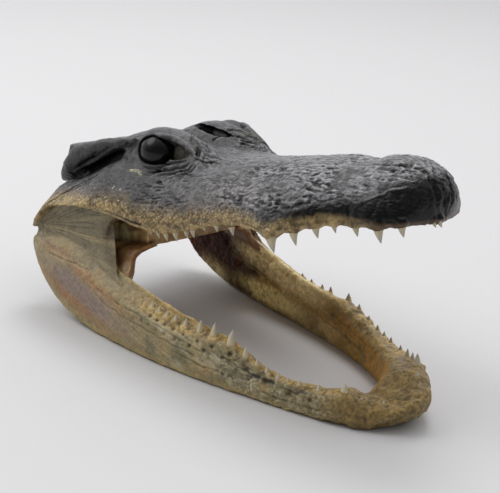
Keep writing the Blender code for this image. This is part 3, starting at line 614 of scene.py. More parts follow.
def direction_in_head(u, y, v, side=1.0):
    """World direction of a direction given in the frame of the upper head."""
    return unit(from_head(u, side * y, v) - from_head(0.0, 0.0, 0.0))


def eye_frame(side):
    """Centre of an eye, and the directions it looks along, forward and up."""
    centre = from_head(EYE_CENTRE[0], side * EYE_CENTRE[1], EYE_CENTRE[2])
    look, forward = (direction_in_head(*way, side) for way in (LID_LOOK, LID_FORWARD))
    forward = unit(forward - look * np.dot(forward, look))
    upward = np.cross(look, forward)
    return centre, look, forward, upward if upward[2] > 0.0 else -upward


def lid_edge(turn):
    """Half angle of the opening at a turn round the eye, and how much it widens outwards."""
    rows = LID_EDGE + ((LID_EDGE[0][0] + 360.0,) + LID_EDGE[0][1:],)
    place = np.interp(np.degrees(turn) % 360.0, [row[0] for row in rows], np.arange(len(rows)))
    values = closed_spline([row[1:] for row in LID_EDGE], place)
    return np.radians(values[:, 0]), np.radians(values[:, 1])


def round_the_eye(side, turn, angle, distance):
    """Points at a turn, an angle off the look and a distance from the middle of an eye."""
    centre, look, forward, upward = eye_frame(side)
    sideways = np.cos(turn)[:, None, None] * forward + np.sin(turn)[:, None, None] * upward
    direction = np.cos(angle)[..., None] * look + np.sin(angle)[..., None] * sideways
    return centre + direction * np.broadcast_to(distance, angle.shape)[..., None]


def eye_opening(side, steps=120):
    """The funnel that is cut from the head in front of an eye."""
    turn = np.linspace(0.0, 2.0 * math.pi, steps, endpoint=False)
    edge, widening = lid_edge(turn)
    distance = np.array(OPENING_RINGS) * EYE_RADIUS
    beyond = (distance - OPENING_WIDENS_FROM * EYE_RADIUS) / OPENING_WIDENS_OVER
    beyond = np.clip(beyond, 0.0, OPENING_WIDENS_TO)
    angle = edge[:, None] + widening[:, None] * beyond[None, :]
    return round_the_eye(side, turn, angle, distance[None, :]).transpose(1, 0, 2)


def lid_form(side, steps=121, rows=16):
    """The thin lid that wraps the ball round its opening."""
    turn = np.linspace(0.0, 2.0 * math.pi, steps)
    edge, _ = lid_edge(turn)
    share = np.linspace(0.0, 1.0, rows)[None, :]
    angle = edge[:, None] + (math.radians(LID_REACH) - edge[:, None]) * share
    angle = np.concatenate((angle, angle[:, ::-1]), axis=1)
    distance = np.repeat((EYE_RADIUS + LID_THICKNESS, EYE_RADIUS - LID_THICKNESS), rows)
    return round_the_eye(side, turn, angle, distance[None, :])


def round_mesh(segments=48, rings=24):
    """Points and faces of a ball of radius 1."""
    tilt = math.pi * np.arange(1, rings) / rings - 0.5 * math.pi
    turn = 2.0 * math.pi * np.arange(segments) / segments
    rows = [(math.cos(a) * math.cos(b), math.cos(a) * math.sin(b), math.sin(a)) for a in tilt for b in turn]
    points = np.array([(0.0, 0.0, -1.0)] + rows + [(0.0, 0.0, 1.0)])
    faces = []
    last = 1 + (rings - 2) * segments
    for k in range(segments):
        after = (k + 1) % segments
        faces.append((0, 1 + after, 1 + k))
        faces.append((len(points) - 1, last + k, last + after))
        for row in range(1, last, segments):
            faces.append((row + k, row + after, row + segments + after, row + segments + k))
    return points, faces


# --------------------------------------------------------------------- growing the skin
HEAD, JAW, CHEEK, EAR, WINGS, LID, WEB = range(7)
# Each form's points, faces and labels: its region, the place along it, and the place round it
# (on the head 1 below the lip and 0 above it).
forms = []


def tube_faces(rows, count):
    """Faces of a closed tube of rings, with a face over each end."""
    index = np.arange(rows * count).reshape(rows, count)
    after = np.roll(index, -1, axis=1)
    quads = np.stack((index[:-1], after[:-1], after[1:], index[1:]), axis=-1).reshape(-1, 4)
    return quads.tolist() + [index[0][::-1].tolist(), index[-1].tolist()]


def add_form(rings, region, first=0.0, second=0.0):
    """Add a closed tube of rings, with the labels of its points."""
    rows, count = rings.shape[:2]
    labels = [np.broadcast_to(value, (rows, count)).reshape(-1) for value in (region, first, second)]
    forms.append((rings.reshape(-1, 3), tube_faces(rows, count), np.stack(labels, axis=1).astype(float)))


head_rings, head_u, head_under = head_form()
add_form(head_rings, HEAD, head_u, head_under)
jaw_t = np.linspace(0.0, len(JAW_PLAN) - 1.0, 14 * (len(JAW_PLAN) - 1) + 1)
jaw_w = np.linspace(0.0, len(JAW_FRONT_SECTION), 6 * len(JAW_FRONT_SECTION), endpoint=False)
jaw_right, jaw_left = (jaw_surface(jaw_t, jaw_w, side) for side in BOTH)
add_form(np.concatenate((jaw_right, jaw_left[-2::-1])), JAW,
         np.concatenate((jaw_t, jaw_t[-2::-1]))[:, None], jaw_w[None, :])
for side in BOTH:
    cheek = cheek_form(side)
    add_form(cheek, CHEEK, np.linspace(0.0, 1.0, len(cheek))[:, None],
             np.linspace(0.0, 1.0, cheek.shape[1])[None, :])
    add_form(tube_form(EAR_SPINE, side, swell=EAR_SWELL), EAR)
    add_form(lid_form(side), LID)
    add_form(tube_form(BROW_LEDGE, side), HEAD, EYE_CENTRE[0])
    add_form(tube_form(LOWER_ROLL, side), LID)
    add_form(web_form(side), WEB)
for side in BOTH:
    bead, bead_faces = round_mesh()
    bead = (bead * CORNER_FLESH[1] + np.array(CORNER_FLESH[0]) * (1.0, side, 1.0)) * MM
    forms.append((from_head(*bead.T), bead_faces, np.tile((HEAD, EYE_CENTRE[0], 0.0), (len(bead), 1))))
add_form(wings_form(), WINGS)
for root, tip, radius, _ in upper_teeth():
    add_form(gum_sheath(root, tip, radius), HEAD, to_head(root[None])[0, 0])


def mesh_of(name, points, faces):
    mesh = bpy.data.meshes.new(name)
    mesh.from_pydata(points.tolist() if isinstance(points, np.ndarray) else points, [], faces)
    mesh.update()
    return mesh


def closed_mesh(name, points, faces):
    """A mesh whose faces all look outwards."""
    mesh = mesh_of(name, points, faces)
    shell = bmesh.new()
    shell.from_mesh(mesh)
    bmesh.ops.recalc_face_normals(shell, faces=shell.faces)
    shell.to_mesh(mesh)
    shell.free()
    return mesh


def new_object(name, data):
    thing = bpy.data.objects.new(name, data)
    bpy.context.scene.collection.objects.link(thing)
    return thing


def get_points(mesh):
    flat = np.empty(len(mesh.vertices) * 3)
    mesh.vertices.foreach_get("co", flat)
    return flat.reshape(-1, 3)


def applied(piece, *helpers):
    """The mesh of a piece with its modifiers, after which it and its helpers are gone."""
    depsgraph = bpy.context.evaluated_depsgraph_get()
    mesh = bpy.data.meshes.new_from_object(piece.evaluated_get(depsgraph))
    for used in (piece, *helpers):
        bpy.data.objects.remove(used, do_unlink=True)
    return mesh


def carved_head():
    """The smooth head with its eye openings, ear recesses, nostrils and brow grooves cut."""
    points, faces, _ = forms[0]
    target = new_object("head_solid", closed_mesh("head_solid", points, faces))
    cutters = []
    for side in BOTH:
        tubes = [tube_form(spine, side) for spine in (EAR_RECESS, NOSTRIL_HOLE, BROW_UNDERCUT)]
        for rings in (*tubes, eye_opening(side)):
            cutters.append((rings.reshape(-1, 3), tube_faces(*rings.shape[:2])))
        ball, ball_faces = round_mesh()
        corner = np.array(EYE_CORNER) * MM
        hollow = corner[0] * (1.0, side, 1.0) + ball * corner[1]
        cutters.append((from_head(*hollow.T), ball_faces))
    helpers = []
    for cutter_points, cutter_faces in cutters:
        helper = new_object("cutter", closed_mesh("cutter", cutter_points, cutter_faces))
        cut = target.modifiers.new("cut", "BOOLEAN")
        cut.operation = "DIFFERENCE"
        cut.solver = "MANIFOLD"
        cut.object = helper
        helpers.append(helper)
    return applied(target, *helpers)


def grow_skin():
    """Join the forms into one closed surface of even small faces."""
    head = carved_head()
    solids = [(get_points(head), [tuple(face.vertices) for face in head.polygons])]
    solids += [(points, faces) for points, faces, _ in forms[1:]]
    all_faces = []
    start = 0
    for points, faces in solids:
        all_faces += [[start + corner for corner in face] for face in faces]
        start += len(points)
    joined = np.concatenate([points for points, _ in solids])
    source = new_object("skin_source", mesh_of("skin_source", joined, all_faces))
    remesh = source.modifiers.new("one_surface", "REMESH")
    remesh.mode = "VOXEL"
    remesh.voxel_size = VOXEL
    return applied(source)


skin_mesh = grow_skin()
skin = get_points(skin_mesh)
edges = np.empty(len(skin_mesh.edges) * 2, dtype=np.int64)
skin_mesh.edges.foreach_get("vertices", edges)
edges = edges.reshape(-1, 2)
valence = np.bincount(edges.ravel(), minlength=len(skin)).astype(float)


def blurred(values, rounds, share=0.5):
    """Even out a value over the surface by averaging with its neighbours."""
    values = np.array(values, dtype=float)
    columns = values.reshape(len(values), -1)
    for _ in range(rounds):
        sums = np.empty_like(columns)
        for k in range(columns.shape[1]):
            weights = columns[:, k]
            sums[:, k] = (np.bincount(edges[:, 0], weights[edges[:, 1]], len(weights))
                          + np.bincount(edges[:, 1], weights[edges[:, 0]], len(weights)))
        columns = columns * (1.0 - share) + share * sums / valence[:, None]
    return columns.reshape(values.shape)


loops = np.empty(len(skin_mesh.loops), dtype=np.int64)
skin_mesh.loops.foreach_get("vertex_index", loops)
quads = loops.reshape(-1, 4)


def normals_of(points):
    """Smooth normals of the skin's points."""
    across = points[quads[:, 2]] - points[quads[:, 0]]
    other = points[quads[:, 3]] - points[quads[:, 1]]
    face = np.cross(across, other)
    total = np.zeros_like(points)
    for corner in range(4):
        for k in range(3):
            total[:, k] += np.bincount(quads[:, corner], face[:, k], len(points))
    return total / np.maximum(np.linalg.norm(total, axis=1, keepdims=True), 1e-12)


skin = blurred(skin, 3)
labels = np.concatenate([form[2] for form in forms])
source_points = np.concatenate([form[0] for form in forms])
tree = KDTree(len(source_points))
for index, point in enumerate(source_points.tolist()):
    tree.insert(point, index)
tree.balance()
found = [tree.find(point)[1:] for point in skin.tolist()]
nearest = np.array([index for index, _ in found])
cut_depth = np.array([distance for _, distance in found])
region, first, second = labels[nearest].T

base = skin.copy()
u, y, v = to_head(skin).T
side_share = clamped(np.abs(y) / half_width(u))
above_lip = v - LIP_HEIGHT(u)
is_head, is_jaw, is_cheek, is_ear, is_wings = (
    blurred((region == one).astype(float), 3) for one in (HEAD, JAW, CHEEK, EAR, WINGS))
is_lid, is_web = (blurred((region == one).astype(float), 2) for one in (LID, WEB))
is_under = blurred(((region == HEAD) & (second > 0.5)).astype(float), 2)
is_outer = clamped(is_head - is_under)
jaw_x = skin[:, 0] - SHIFT_X
w = second


# What points far from both eyes are given, and how near the others lie, in radii of the ball.
FAR_REACH = 9.0
FAR_DEPTH = 1.0
NEAR_EYE = 2.5


def reach_round_eyes(points):
    """Angle off the look of the nearer eye as a share of its opening, and distance from the ball."""
    reach = np.full(len(points), FAR_REACH)
    depth = np.full(len(points), FAR_DEPTH)
    for side in BOTH:
        centre, look, forward, upward = eye_frame(side)
        away = points - centre
        distance = np.linalg.norm(away, axis=1)
        near = distance < NEAR_EYE * EYE_RADIUS
        direction = away[near] / distance[near][:, None]
        edge, _ = lid_edge(np.arctan2(direction @ upward, direction @ forward))
        reach[near] = np.arccos(np.clip(direction @ look, -1.0, 1.0)) / edge
        depth[near] = distance[near] - EYE_RADIUS
    return reach, depth


lid_reach, lid_depth = reach_round_eyes(skin)

# ------------------------------------------------------------------- folds and creases
def warped(points, size, reach, seed):
    """Shift places about a little, so that lines and edges drawn by them wander."""
    shifts = [noise(points, size, seed + 31 * axis) for axis in range(3)]
    return points + reach * np.stack(shifts, axis=1)


def from_jaw(x, y, z):
    """World place of a point of the lower jaw."""
    return np.stack((x + SHIFT_X, y, z), axis=-1)


# How far the skin that a path draws on may lie over or under it along a line of sight.
SIGHT_DEPTH = 0.005
PATH_STEPS = 12
# How far a stroke reaches across, in widths.
STROKE_REACH = 3.0
wandering = warped(base, 3.0 * MM, 0.45 * MM, 40)


def along_path(path, place, side, reach, sight=None):
    """Skin points near a path, with their distance to it and how far along it they lie.

    A path with a line of sight is drawn through the skin that lies over or under it.
    """
    t = np.linspace(0.0, len(path) - 1.0, PATH_STEPS * (len(path) - 1) + 1)
    a, b, c = (spline(path, t) * MM).T
    line = place(a, side * b, c)
    margin = reach if sight is None else reach + SIGHT_DEPTH
    inside = np.all((wandering > line.min(axis=0) - margin) & (wandering < line.max(axis=0) + margin), axis=1)
    chosen = np.flatnonzero(inside)
    places = wandering[chosen]
    if sight is not None:
        ray = direction_in_head(*sight, side)
        places = places - (places @ ray)[:, None] * ray
        line = line - (line @ ray)[:, None] * ray
    distance = np.full(len(chosen), 1.0)
    along = np.zeros(len(chosen))
    for index in range(len(line) - 1):
        step = line[index + 1] - line[index]
        share = clamped((places - line[index]) @ step / (step @ step))
        gap = np.linalg.norm(places - line[index] - share[:, None] * step, axis=1)
        closer = gap < distance
        distance = np.where(closer, gap, distance)
        along = np.where(closer, (index + share) / (len(line) - 1.0), along)
    kept = distance < reach
    return chosen[kept], distance[kept], along[kept]


def stroke(path, width, place=from_head, ends=0.16, sight=None):
    """A soft line over both sides: 1 on the path, fading across it and towards its ends."""
    field = np.zeros(len(base))
    for side in BOTH:
        chosen, distance, along = along_path(path, place, side, STROKE_REACH * width * MM, sight)
        taper = smoothstep(0.0, ends, along) * fading(1.0 - ends, 1.0, along)
        field[chosen] = np.maximum(field[chosen], taper * np.exp(-(distance / (width * MM)) ** 2))
    return field


# Folds of the dried skin: a path in mm, the width and the depth. Head paths are (u, y, v).
HEAD_FOLDS = (
    (((60, 7.2, 32.2), (67.8, 12.2, 29.1), (73.1, 14.9, 25.8), (76.1, 19.2, 21.7)), 0.60, 0.85),
    (((58, 4.6, 30.5), (66, 8.0, 28.5), (73, 11.5, 26.0), (76.5, 15.2, 23.5),
      (79.5, 20.0, 19.5)), 0.50, 0.65),
    (((70.5, 8.7, 26.6), (74.1, 10.8, 25.3), (77.0, 14.0, 23.5)), 0.80, 1.30),
    (((71.5, 7.3, 25.6), (77.4, 10.1, 22.9), (82.5, 13.2, 20.2)), 0.45, 0.50),
    (((3, 45.4, 5.4), (9.3, 44.5, 8.3), (14.7, 41.9, 11.0), (21.9, 35.6, 15.6), (30.8, 32.6, 18.6),
      (38.1, 27.4, 23.6)), 0.60, 0.70),
    (((15.7, 40.0, 12.4), (21, 37.7, 13.7), (26.2, 35.5, 15.7), (33.5, 34.0, 17.7)), 0.40, 0.40),
    (((39, 25.4, 25.6), (42.5, 26.6, 23.4), (46, 28.8, 20.4)), 0.50, 0.45),
    (((37, 24.8, 28.2), (42, 22.0, 31.0), (48, 19.2, 33.4), (55, 17.6, 34.6)), 0.45, 0.40),
    (((36, 22.8, 29.8), (43, 19.4, 32.6), (51, 16.6, 34.4)), 0.40, 0.30),
    (((28, 3.0, 30.6), (36, 6.5, 30.6), (43, 7.4, 31.8)), 0.50, 0.35),
    (((20, 21.0, 31.0), (27, 22.6, 30.4), (34, 23.4, 29.2)), 0.60, 0.50),
    (((172.0, 4.0, 14.4), (174.9, 4.4, 11.9), (177.0, 4.2, 8.2), (177.9, 4.0, 4.2),
      (176.6, 4.0, 0.4)), 0.85, 1.00),
    (((176.8, 1.6, 9.4), (178.0, 1.4, 5.4), (177.2, 1.6, 1.6)), 0.40, 0.40),
    (((176.0, 7.4, 8.6), (176.8, 7.2, 5.0), (175.8, 7.4, 1.2)), 0.40, 0.35),
    (((170.5, 9.4, 13.2), (173.8, 9.8, 9.6), (174.4, 10.4, 5.0), (173.4, 11.0, 1.0)), 0.35, 0.30),
    (((166.4, 2.0, 17.2), (168.8, 4.6, 16.2), (169.2, 8.0, 14.4), (167.6, 11.0, 12.6)), 0.60, 0.50),
)
# Folds round the eye, drawn along the way the eye looks.
EYE_FOLDS = (
    (((53, 27.6, 21.0), (58.2, 26.8, 20.0), (62.2, 25.6, 20.2), (65, 23.0, 20.8), (68.5, 21.0, 21.0),
      (72.9, 19.5, 21.4)), 0.42, 0.70),
    (((55.5, 28.0, 19.2), (60.1, 27.5, 18.6), (64.4, 26.4, 18.6), (67.8, 25.6, 18.8), (71.4, 23.8, 19.3),
      (75.2, 20.7, 20.7)), 0.45, 0.80),
    (((60.5, 28.6, 17.2), (66.1, 27.0, 17.2), (69.7, 25.6, 17.2), (71.7, 24.7, 17.7), (74.0, 23.4, 18.1),
      (76.2, 21.0, 19.6)), 0.38, 0.60),
    (((67, 27.4, 15.8), (71.4, 26.1, 16.2), (73.8, 25.4, 16.4), (75.5, 23.3, 17.5),
      (77.6, 20.6, 19.4)), 0.38, 0.55),
    (((64.3, 9.6, 30.1), (69.3, 14.8, 28.1), (71.0, 15.6, 27.0)), 0.45, 0.80),
    (((72.0, 15.5, 26.3), (73.5, 15.9, 25.3), (74.8, 16.6, 24.2), (76.2, 18.4, 22.4)), 0.50, 0.90),
    (((69.5, 10.8, 27.6), (72.8, 12.7, 26.3), (74.5, 13.4, 25.0)), 0.38, 0.60),
    (((73.7, 15.1, 25.4), (77.1, 15.0, 23.1), (79.6, 13.6, 21.6), (83.0, 12.6, 20.4)), 0.38, 0.50),
    (((75.4, 19.0, 22.2), (79.3, 17.4, 20.6), (81.4, 15.6, 19.9), (84.5, 14.8, 19.0)), 0.40, 0.50),
)
# Folds of the lower jaw, their paths in (x, y, z). The bar is a raised one inside the mouth.
JAW_BAR = ((64, 34.4, 24.6), (78, 33.4, 20.4), (93, 32.0, 15.4))
JAW_FOLDS = (
    (((22, 42.6, 31.5), (32, 43.2, 30.2), (45, 43.0, 30.0), (56, 42.2, 29.0), (66, 41.2, 26.8)), 0.70, 0.60),
    (((27, 45.4, 25.2), (36, 45.4, 24.6), (46, 44.6, 25.0), (58, 43.4, 24.6)), 0.50, 0.35),
    (((60, 45.4, 20.0), (74, 44.6, 18.0), (90, 43.2, 16.4), (106, 41.2, 14.6)), 0.50, 0.35),
    (((66, 45.0, 15.5), (82, 44.2, 13.4), (100, 42.4, 11.6), (120, 38.8, 9.8)), 0.45, 0.30),
    (((88, 43.6, 10.2), (104, 41.4, 8.6), (122, 37.8, 7.0), (138, 33.4, 6.2)), 0.45, 0.35),
    (((96, 42.6, 15.6), (112, 39.6, 13.4), (128, 36.0, 11.4), (141, 32.0, 8.8)), 0.45, 0.40),
    (((120, 38.2, 14.2), (134, 34.4, 11.4), (148, 29.6, 8.8), (162, 25.2, 7.4)), 0.60, 0.55),
    (((140, 32.4, 5.2), (156, 27.4, 4.2), (170, 22.2, 4.4), (182, 14.2, 5.6)), 0.60, 0.50),
    (((92, 31.6, 14.4), (107, 29.8, 11.4), (121, 27.8, 9.0), (136, 24.4, 7.8), (150, 19.6, 7.4)), 0.90, 1.10),
    (JAW_BAR, 1.60, -0.90),
    (((52, 35.6, 20.4), (68, 34.6, 16.4), (84, 33.2, 12.4), (96, 31.8, 9.2)), 1.00, 0.90),
    (((34, 37.2, 13.4), (48, 36.2, 12.0), (62, 34.8, 9.0)), 1.20, 0.80),
    (((109, 29.8, 15.6), (124, 28.0, 13.2), (140, 23.6, 11.4), (152, 18.6, 11.0)), 0.70, 0.45),
)
JAW_FOLD_SHARE = 0.6
# How dark the painted shade in a crease of the jaw is.
JAW_FOLD_SHADE = 0.22
# A fold swells beside its crease: how much wider than the crease, and the share of its depth.
FOLD_SPREAD = 2.1
HEAD_FOLD_SWELL = 0.25
JAW_FOLD_SWELL = 0.20
# Holes in the jaw's outer wall: their places along and up the jaw and their radii, in mm.
JAW_HOLES = ((130.2, 14.9, 1.0), (137.4, 11.6, 1.1), (144.8, 8.9, 1.4), (154.4, 7.2, 1.2), (162.0, 7.0, 0.9))
# Pits beside the lower teeth of one stretch: outwards, ahead and up from a tooth's root, in metres.
SOCKET_PITS = ((0.0026, 0.0016, -0.0006), (0.0040, -0.0012, -0.0030))
SOCKET_STRETCH = (0.082, 0.135)
# Paths of painted shade along the recess and under each ear flap, in mm.
EAR_SLIT = ((-3.0, 31.4, 12.4), (5.0, 32.0, 15.0), (13.0, 31.6, 17.6), (21.0, 30.2, 20.2),
            (28.0, 28.2, 22.8), (35.0, 26.4, 25.2), (40.0, 25.0, 27.0))
EAR_SHADE = ((8.0, 26.0, 17.6), (14.0, 25.8, 19.4), (20.0, 25.8, 21.0), (26.0, 26.0, 23.4),
             (31.0, 26.0, 26.0))
PALE_RIDGE = ((155.7, 21.3, 4.9), (161.8, 19.4, 6.5), (166.7, 16.2, 8.5), (169.7, 14.1, 9.0),
              (175.0, 7.0, 9.8))
PALE_CRACK = ((46.6, 31.0, 20.4), (49.3, 30.5, 19.7), (51.6, 29.9, 19.5), (53.9, 29.6, 18.9),
              (55.0, 30.4, 17.6), (54.8, 31.3, 16.6))

head_place = np.stack((u, y, v), axis=1)


def reach_in_corner(centre, radii):
    """Distance from the middle of a rounded form beside either eye, in its radii."""
    away = np.stack((u, np.abs(y), v), axis=1) - np.array(centre) * MM
    return np.linalg.norm(away / (np.array(radii) * MM), axis=1)


normal = normals_of(skin)
push = np.zeros(len(skin))
# Folds are pushed in, and their creases also get painted shade.
fold_shade = np.zeros(len(skin))
for path, width_mm, depth_mm in HEAD_FOLDS:
    line = stroke(path, width_mm) * clamped(is_head + is_ear)
    push -= depth_mm * MM * line
    push += HEAD_FOLD_SWELL * depth_mm * MM * (stroke(path, FOLD_SPREAD * width_mm) - line) * is_head
    fold_shade = np.maximum(fold_shade, line * min(1.0, 1.1 * depth_mm ** 0.7))
for path, width_mm, depth_mm in EYE_FOLDS:
    line = stroke(path, width_mm, sight=LID_LOOK) * clamped(is_head + is_lid)
    line = line * np.maximum(lid_reach > 1.02, lid_depth > 1.6 * MM)
    push -= depth_mm * MM * line
    fold_shade = np.maximum(fold_shade, line)
for path, width_mm, full_depth in JAW_FOLDS:
    depth_mm = JAW_FOLD_SHARE * full_depth
    line = stroke(path, width_mm, from_jaw) * is_jaw * (1.0 - 0.6 * smoothstep(9.6, 10.6, w))
    push -= depth_mm * MM * line
    push += JAW_FOLD_SWELL * depth_mm * MM * (stroke(path, FOLD_SPREAD * width_mm, from_jaw) - line) * is_jaw
    fold_shade = np.maximum(fold_shade, JAW_FOLD_SHADE * line * (depth_mm > 0.0))
corner_hollow = fading(1.05, 1.35, reach_in_corner(*EYE_CORNER)) * smoothstep(0.0655, 0.0670, u)
corner_flesh = fading(1.05, 1.25, reach_in_corner(*CORNER_FLESH))
pale_ridge = stroke(PALE_RIDGE, 0.45, ends=0.3)
pale_crack = stroke(PALE_CRACK, 0.50, ends=0.10)
push += MM * (0.35 * pale_ridge - 0.3 * pale_crack)
skin = skin + normal * push[:, None]

# ------------------------------------------------- where each kind of skin lies, from 0 to 1
# A zone is full from its second place on, a stop ends between its two. Heights over the lip:
CROWN_OVER_LIP = (0.002, 0.009)
SNOUT_OVER_LIP = (0.004, 0.009)
LIP_GRAIN_STOPS = (0.004, 0.012)
# The pale specks painted as glints:
GLINT_SPECKS_OVER_LIP = (0.002, 0.012)
# Places along the upper head:
DARK_REAR_STOPS = (0.070, 0.096)
SNOUT_ZONE = (0.070, 0.095)
REAR_GLINT_SPECKS_STOP = (0.070, 0.090)
ROUGH_ZONE = (0.082, 0.118)
FRONT_GLINT_SPECKS_ZONE = (0.100, 0.130)
BLACK_ZONE = (0.104, 0.140)
BLACK_EDGE = (-0.0020, 0.0024)
LIP_STOPS = (0.120, 0.150)
LIP_FRONT_ZONE = (0.154, 0.167)
MOUTH_STOPS = (0.169, 0.173)
# Places along the lower jaw:
KEEL_ZONE = (0.030, 0.060)
STREAKED_ZONE = (0.045, 0.080)
BONE_ZONE = (0.064, 0.074)
CREST_ZONE = (0.070, 0.092)
MUSCLE_STOPS = (0.070, 0.078)
REAR_INSIDE_STOPS = (0.078, 0.100)
BONE_STOPS = (0.110, 0.140)
JAW_FRONT_ZONE = (0.112, 0.135)
FRONT_OLIVE_ZONE = (0.112, 0.140)
CHIN_ZONE = (0.160, 0.176)
# Places round the jaw's outline, in its points, from the keel up the outer face and down inside:
OUTER_STEPS = (1.6, 7.0)
KEEL_STEPS = (1.9, 2.9)
CREST_STEPS = (6.6, 9.4)
STRIP_STEPS = (8.7, 10.5)
INNER_STEPS = (9.6, 12.6)
# Round patches, each its centre and radii: on the head over the lip or in its frame, on the jaw in x, z.
BEFORE_EYE = ((0.072, 0.021), (0.011, 0.010))
BROWN_SIDE = ((0.094, 0.009), (0.030, 0.006))
ROUND_EYES = ((0.053, 0.024), (0.020, 0.011))
TISSUE_OVALS = (((0.0345, -0.0085), (0.0026, 0.0055)), ((0.0400, -0.0110), (0.0018, 0.0060)))
SLOT_SPOTS = (((0.0335, -0.0070), (0.0024, 0.0046)), ((0.0280, -0.0038), (0.0018, 0.0046)))
BONE_SPOT = ((0.0412, 0.0048), (0.0080, 0.0046))
PALE_WEDGE = ((0.082, 0.0072), (0.016, 0.0036))
# The violet patch behind the jaw's middle, and the rust under and over it, measured from its centre.
PATCH_CENTRE = (0.0555, 0.0145)
VIOLET_PATCH = ((0.0, 0.0), (0.021, 0.0042))
RUST_UNDER = ((-0.004, -0.0058), (0.022, 0.0032))
RUST_OVER = ((0.0, 0.0068), (0.022, 0.0022))
# Top of the black skin on the snout's side, over the frame of the upper head.
BLACK_TOP = profile((120, 3.4), (135, 4.4), (147, 5.6), (157, 6.2), (162, 7.8), (166, 9.6), (170, 11.0),
                    (175, 11.5))
EAR_MIDDLE = profile(*[(row[0], row[2]) for row in EAR_SPINE])

crown_share = smoothstep(*CROWN_OVER_LIP, above_lip) * is_outer
lip_share = is_outer * fading(*LIP_GRAIN_STOPS, above_lip) * fading(*LIP_STOPS, u)
snout_top = is_outer * smoothstep(*SNOUT_ZONE, u) * smoothstep(*SNOUT_OVER_LIP, above_lip)
ragged = 1.8 * MM * layered(base, 4.0 * MM, 3, seed=145)
black_side = fading(*BLACK_EDGE, v - BLACK_TOP(u) + ragged)
black_side = is_outer * smoothstep(*BLACK_ZONE, u) * black_side
crest = band(w, *CREST_STEPS, 0.5) * is_jaw * smoothstep(*CREST_ZONE, jaw_x)
inner_face = band(w, *INNER_STEPS, 0.4) * is_jaw
outer_face = is_jaw * band(w, *OUTER_STEPS, 0.6)
chin_share = is_jaw * smoothstep(*CHIN_ZONE, jaw_x)
rear_inside = inner_face * fading(*REAR_INSIDE_STOPS, jaw_x)
streaked = outer_face * smoothstep(*STREAKED_ZONE, jaw_x)
jaw_front = outer_face * smoothstep(*JAW_FRONT_ZONE, jaw_x)
roughest = 0.84 * smoothstep(*ROUGH_ZONE, u) + 0.5 * spot(u, above_lip, *BEFORE_EYE)
rough_crown = crown_share * (1.0 - 0.65 * black_side) * clamped(0.16 + roughest)

# ----------------------------------------------------------------------- grain of the skin
radius_joint = np.hypot(skin[:, 0] - JOINT_X, skin[:, 2] - JOINT_Z)
angle_joint = np.arctan2(skin[:, 2] - JOINT_Z, skin[:, 0] - JOINT_X)
fan_place = np.stack((radius_joint * 0.05, 0.024 * angle_joint, skin[:, 1] * 0.3), axis=1)

lumps = layered(base, 5.0 * MM, 3, seed=1)
knobs = layered(base, 2.6 * MM, 2, seed=3)
fine = layered(base, 1.3 * MM, 2, seed=5)
ridged = 1.0 - 2.0 * np.abs(noise(wandering, 1.9 * MM, 7))
crackle = wrinkles(wandering, 2.2 * MM, 15, (1.5, 1.0, 1.0), sharp=5.0)
jaw_lines = wrinkles(fan_place * (0.35, 1.0, 1.0), 1.3 * MM, 21, sharp=5.0)
jaw_lines = jaw_lines * (1.0 - smoothstep(0.125, 0.155, jaw_x) * (1.0 - outer_face))
jaw_lines = jaw_lines * fading(0.150, 0.165, jaw_x)
fan_lines = wrinkles(fan_place, 1.0 * MM, 25, sharp=4.5)
near_seed, _, _ = cells(wandering, 1.15 * MM, 61)
granule = clamped(1.0 - near_seed / 0.62) ** 0.7
near_pit, _, pit_number = cells(warped(head_place, 1.2 * MM, 0.9 * MM, 80) / (2.2, 1.0, 1.0), 2.1 * MM, 81)
flaky = clamped(0.35 + 0.9 * layered(base, 9.0 * MM, 2, seed=83))
pits = fading(0.14, 0.34, near_pit) * (pit_number > 0.45) * flaky
# Pale specks painted as glints, a painted highlight; they also rise a little.
near_glint_speck, _, glint_speck_number = cells(base, 1.9 * MM, 91)
glint_specks = fading(0.09, 0.17, near_glint_speck) * (glint_speck_number > 0.62)
glint_speck_zone = np.maximum(band(above_lip, *GLINT_SPECKS_OVER_LIP, 2.0 * MM) * fading(*REAR_GLINT_SPECKS_STOP, u),
                        0.25 * smoothstep(*FRONT_GLINT_SPECKS_ZONE, u) * (v > BLACK_TOP(u)))

# Short cracks: some run along the snout, some slant across it.
slanting = np.stack((0.90 * u + 0.43 * y, 0.90 * y - 0.43 * u, v), axis=1)
streaky = noise(warped(head_place, 6.0 * MM, 1.6 * MM, 140), 0.98 * MM, 147, (3.4, 1.0, 1.0))
slashed = noise(warped(slanting, 5.0 * MM, 1.4 * MM, 150), 0.85 * MM, 153, (2.4, 1.0, 1.0))
streaks = smoothstep(0.16, 0.52, streaky)
slashes = smoothstep(0.24, 0.56, slashed)
flakes = smoothstep(0.10, 0.50, -streaky)
patchy = 0.35 + 1.3 * smoothstep(-0.35, 0.35, layered(base, 8.0 * MM, 2, seed=85))

wall_lumps = 1.3 * layered(warped(base, 3.0 * MM, 1.2 * MM, 160), 3.0 * MM, 4, seed=163) * jaw_front
holes = np.zeros(len(skin))
for ahead, up, size in JAW_HOLES:
    away = np.hypot(jaw_x - ahead * MM, base[:, 2] - up * MM) / (size * MM)
    holes = np.maximum(holes, np.exp(-away ** 2) * outer_face)
gum_mounds = np.zeros(len(skin))
sockets = np.zeros(len(skin))
for root, _, radius, side in lower_teeth():
    away = np.linalg.norm(base - root, axis=1) / (1.5 * MM + radius)
    gum_mounds = np.maximum(gum_mounds, fading(0.45, 1.25, away))
    if SOCKET_STRETCH[0] < root[0] - SHIFT_X < SOCKET_STRETCH[1]:
        for out, ahead, drop in SOCKET_PITS:
            away = np.linalg.norm(base - root - np.array((ahead, side * out, drop)), axis=1)
            sockets = np.maximum(sockets, np.exp(-(away / (0.75 * MM)) ** 2))

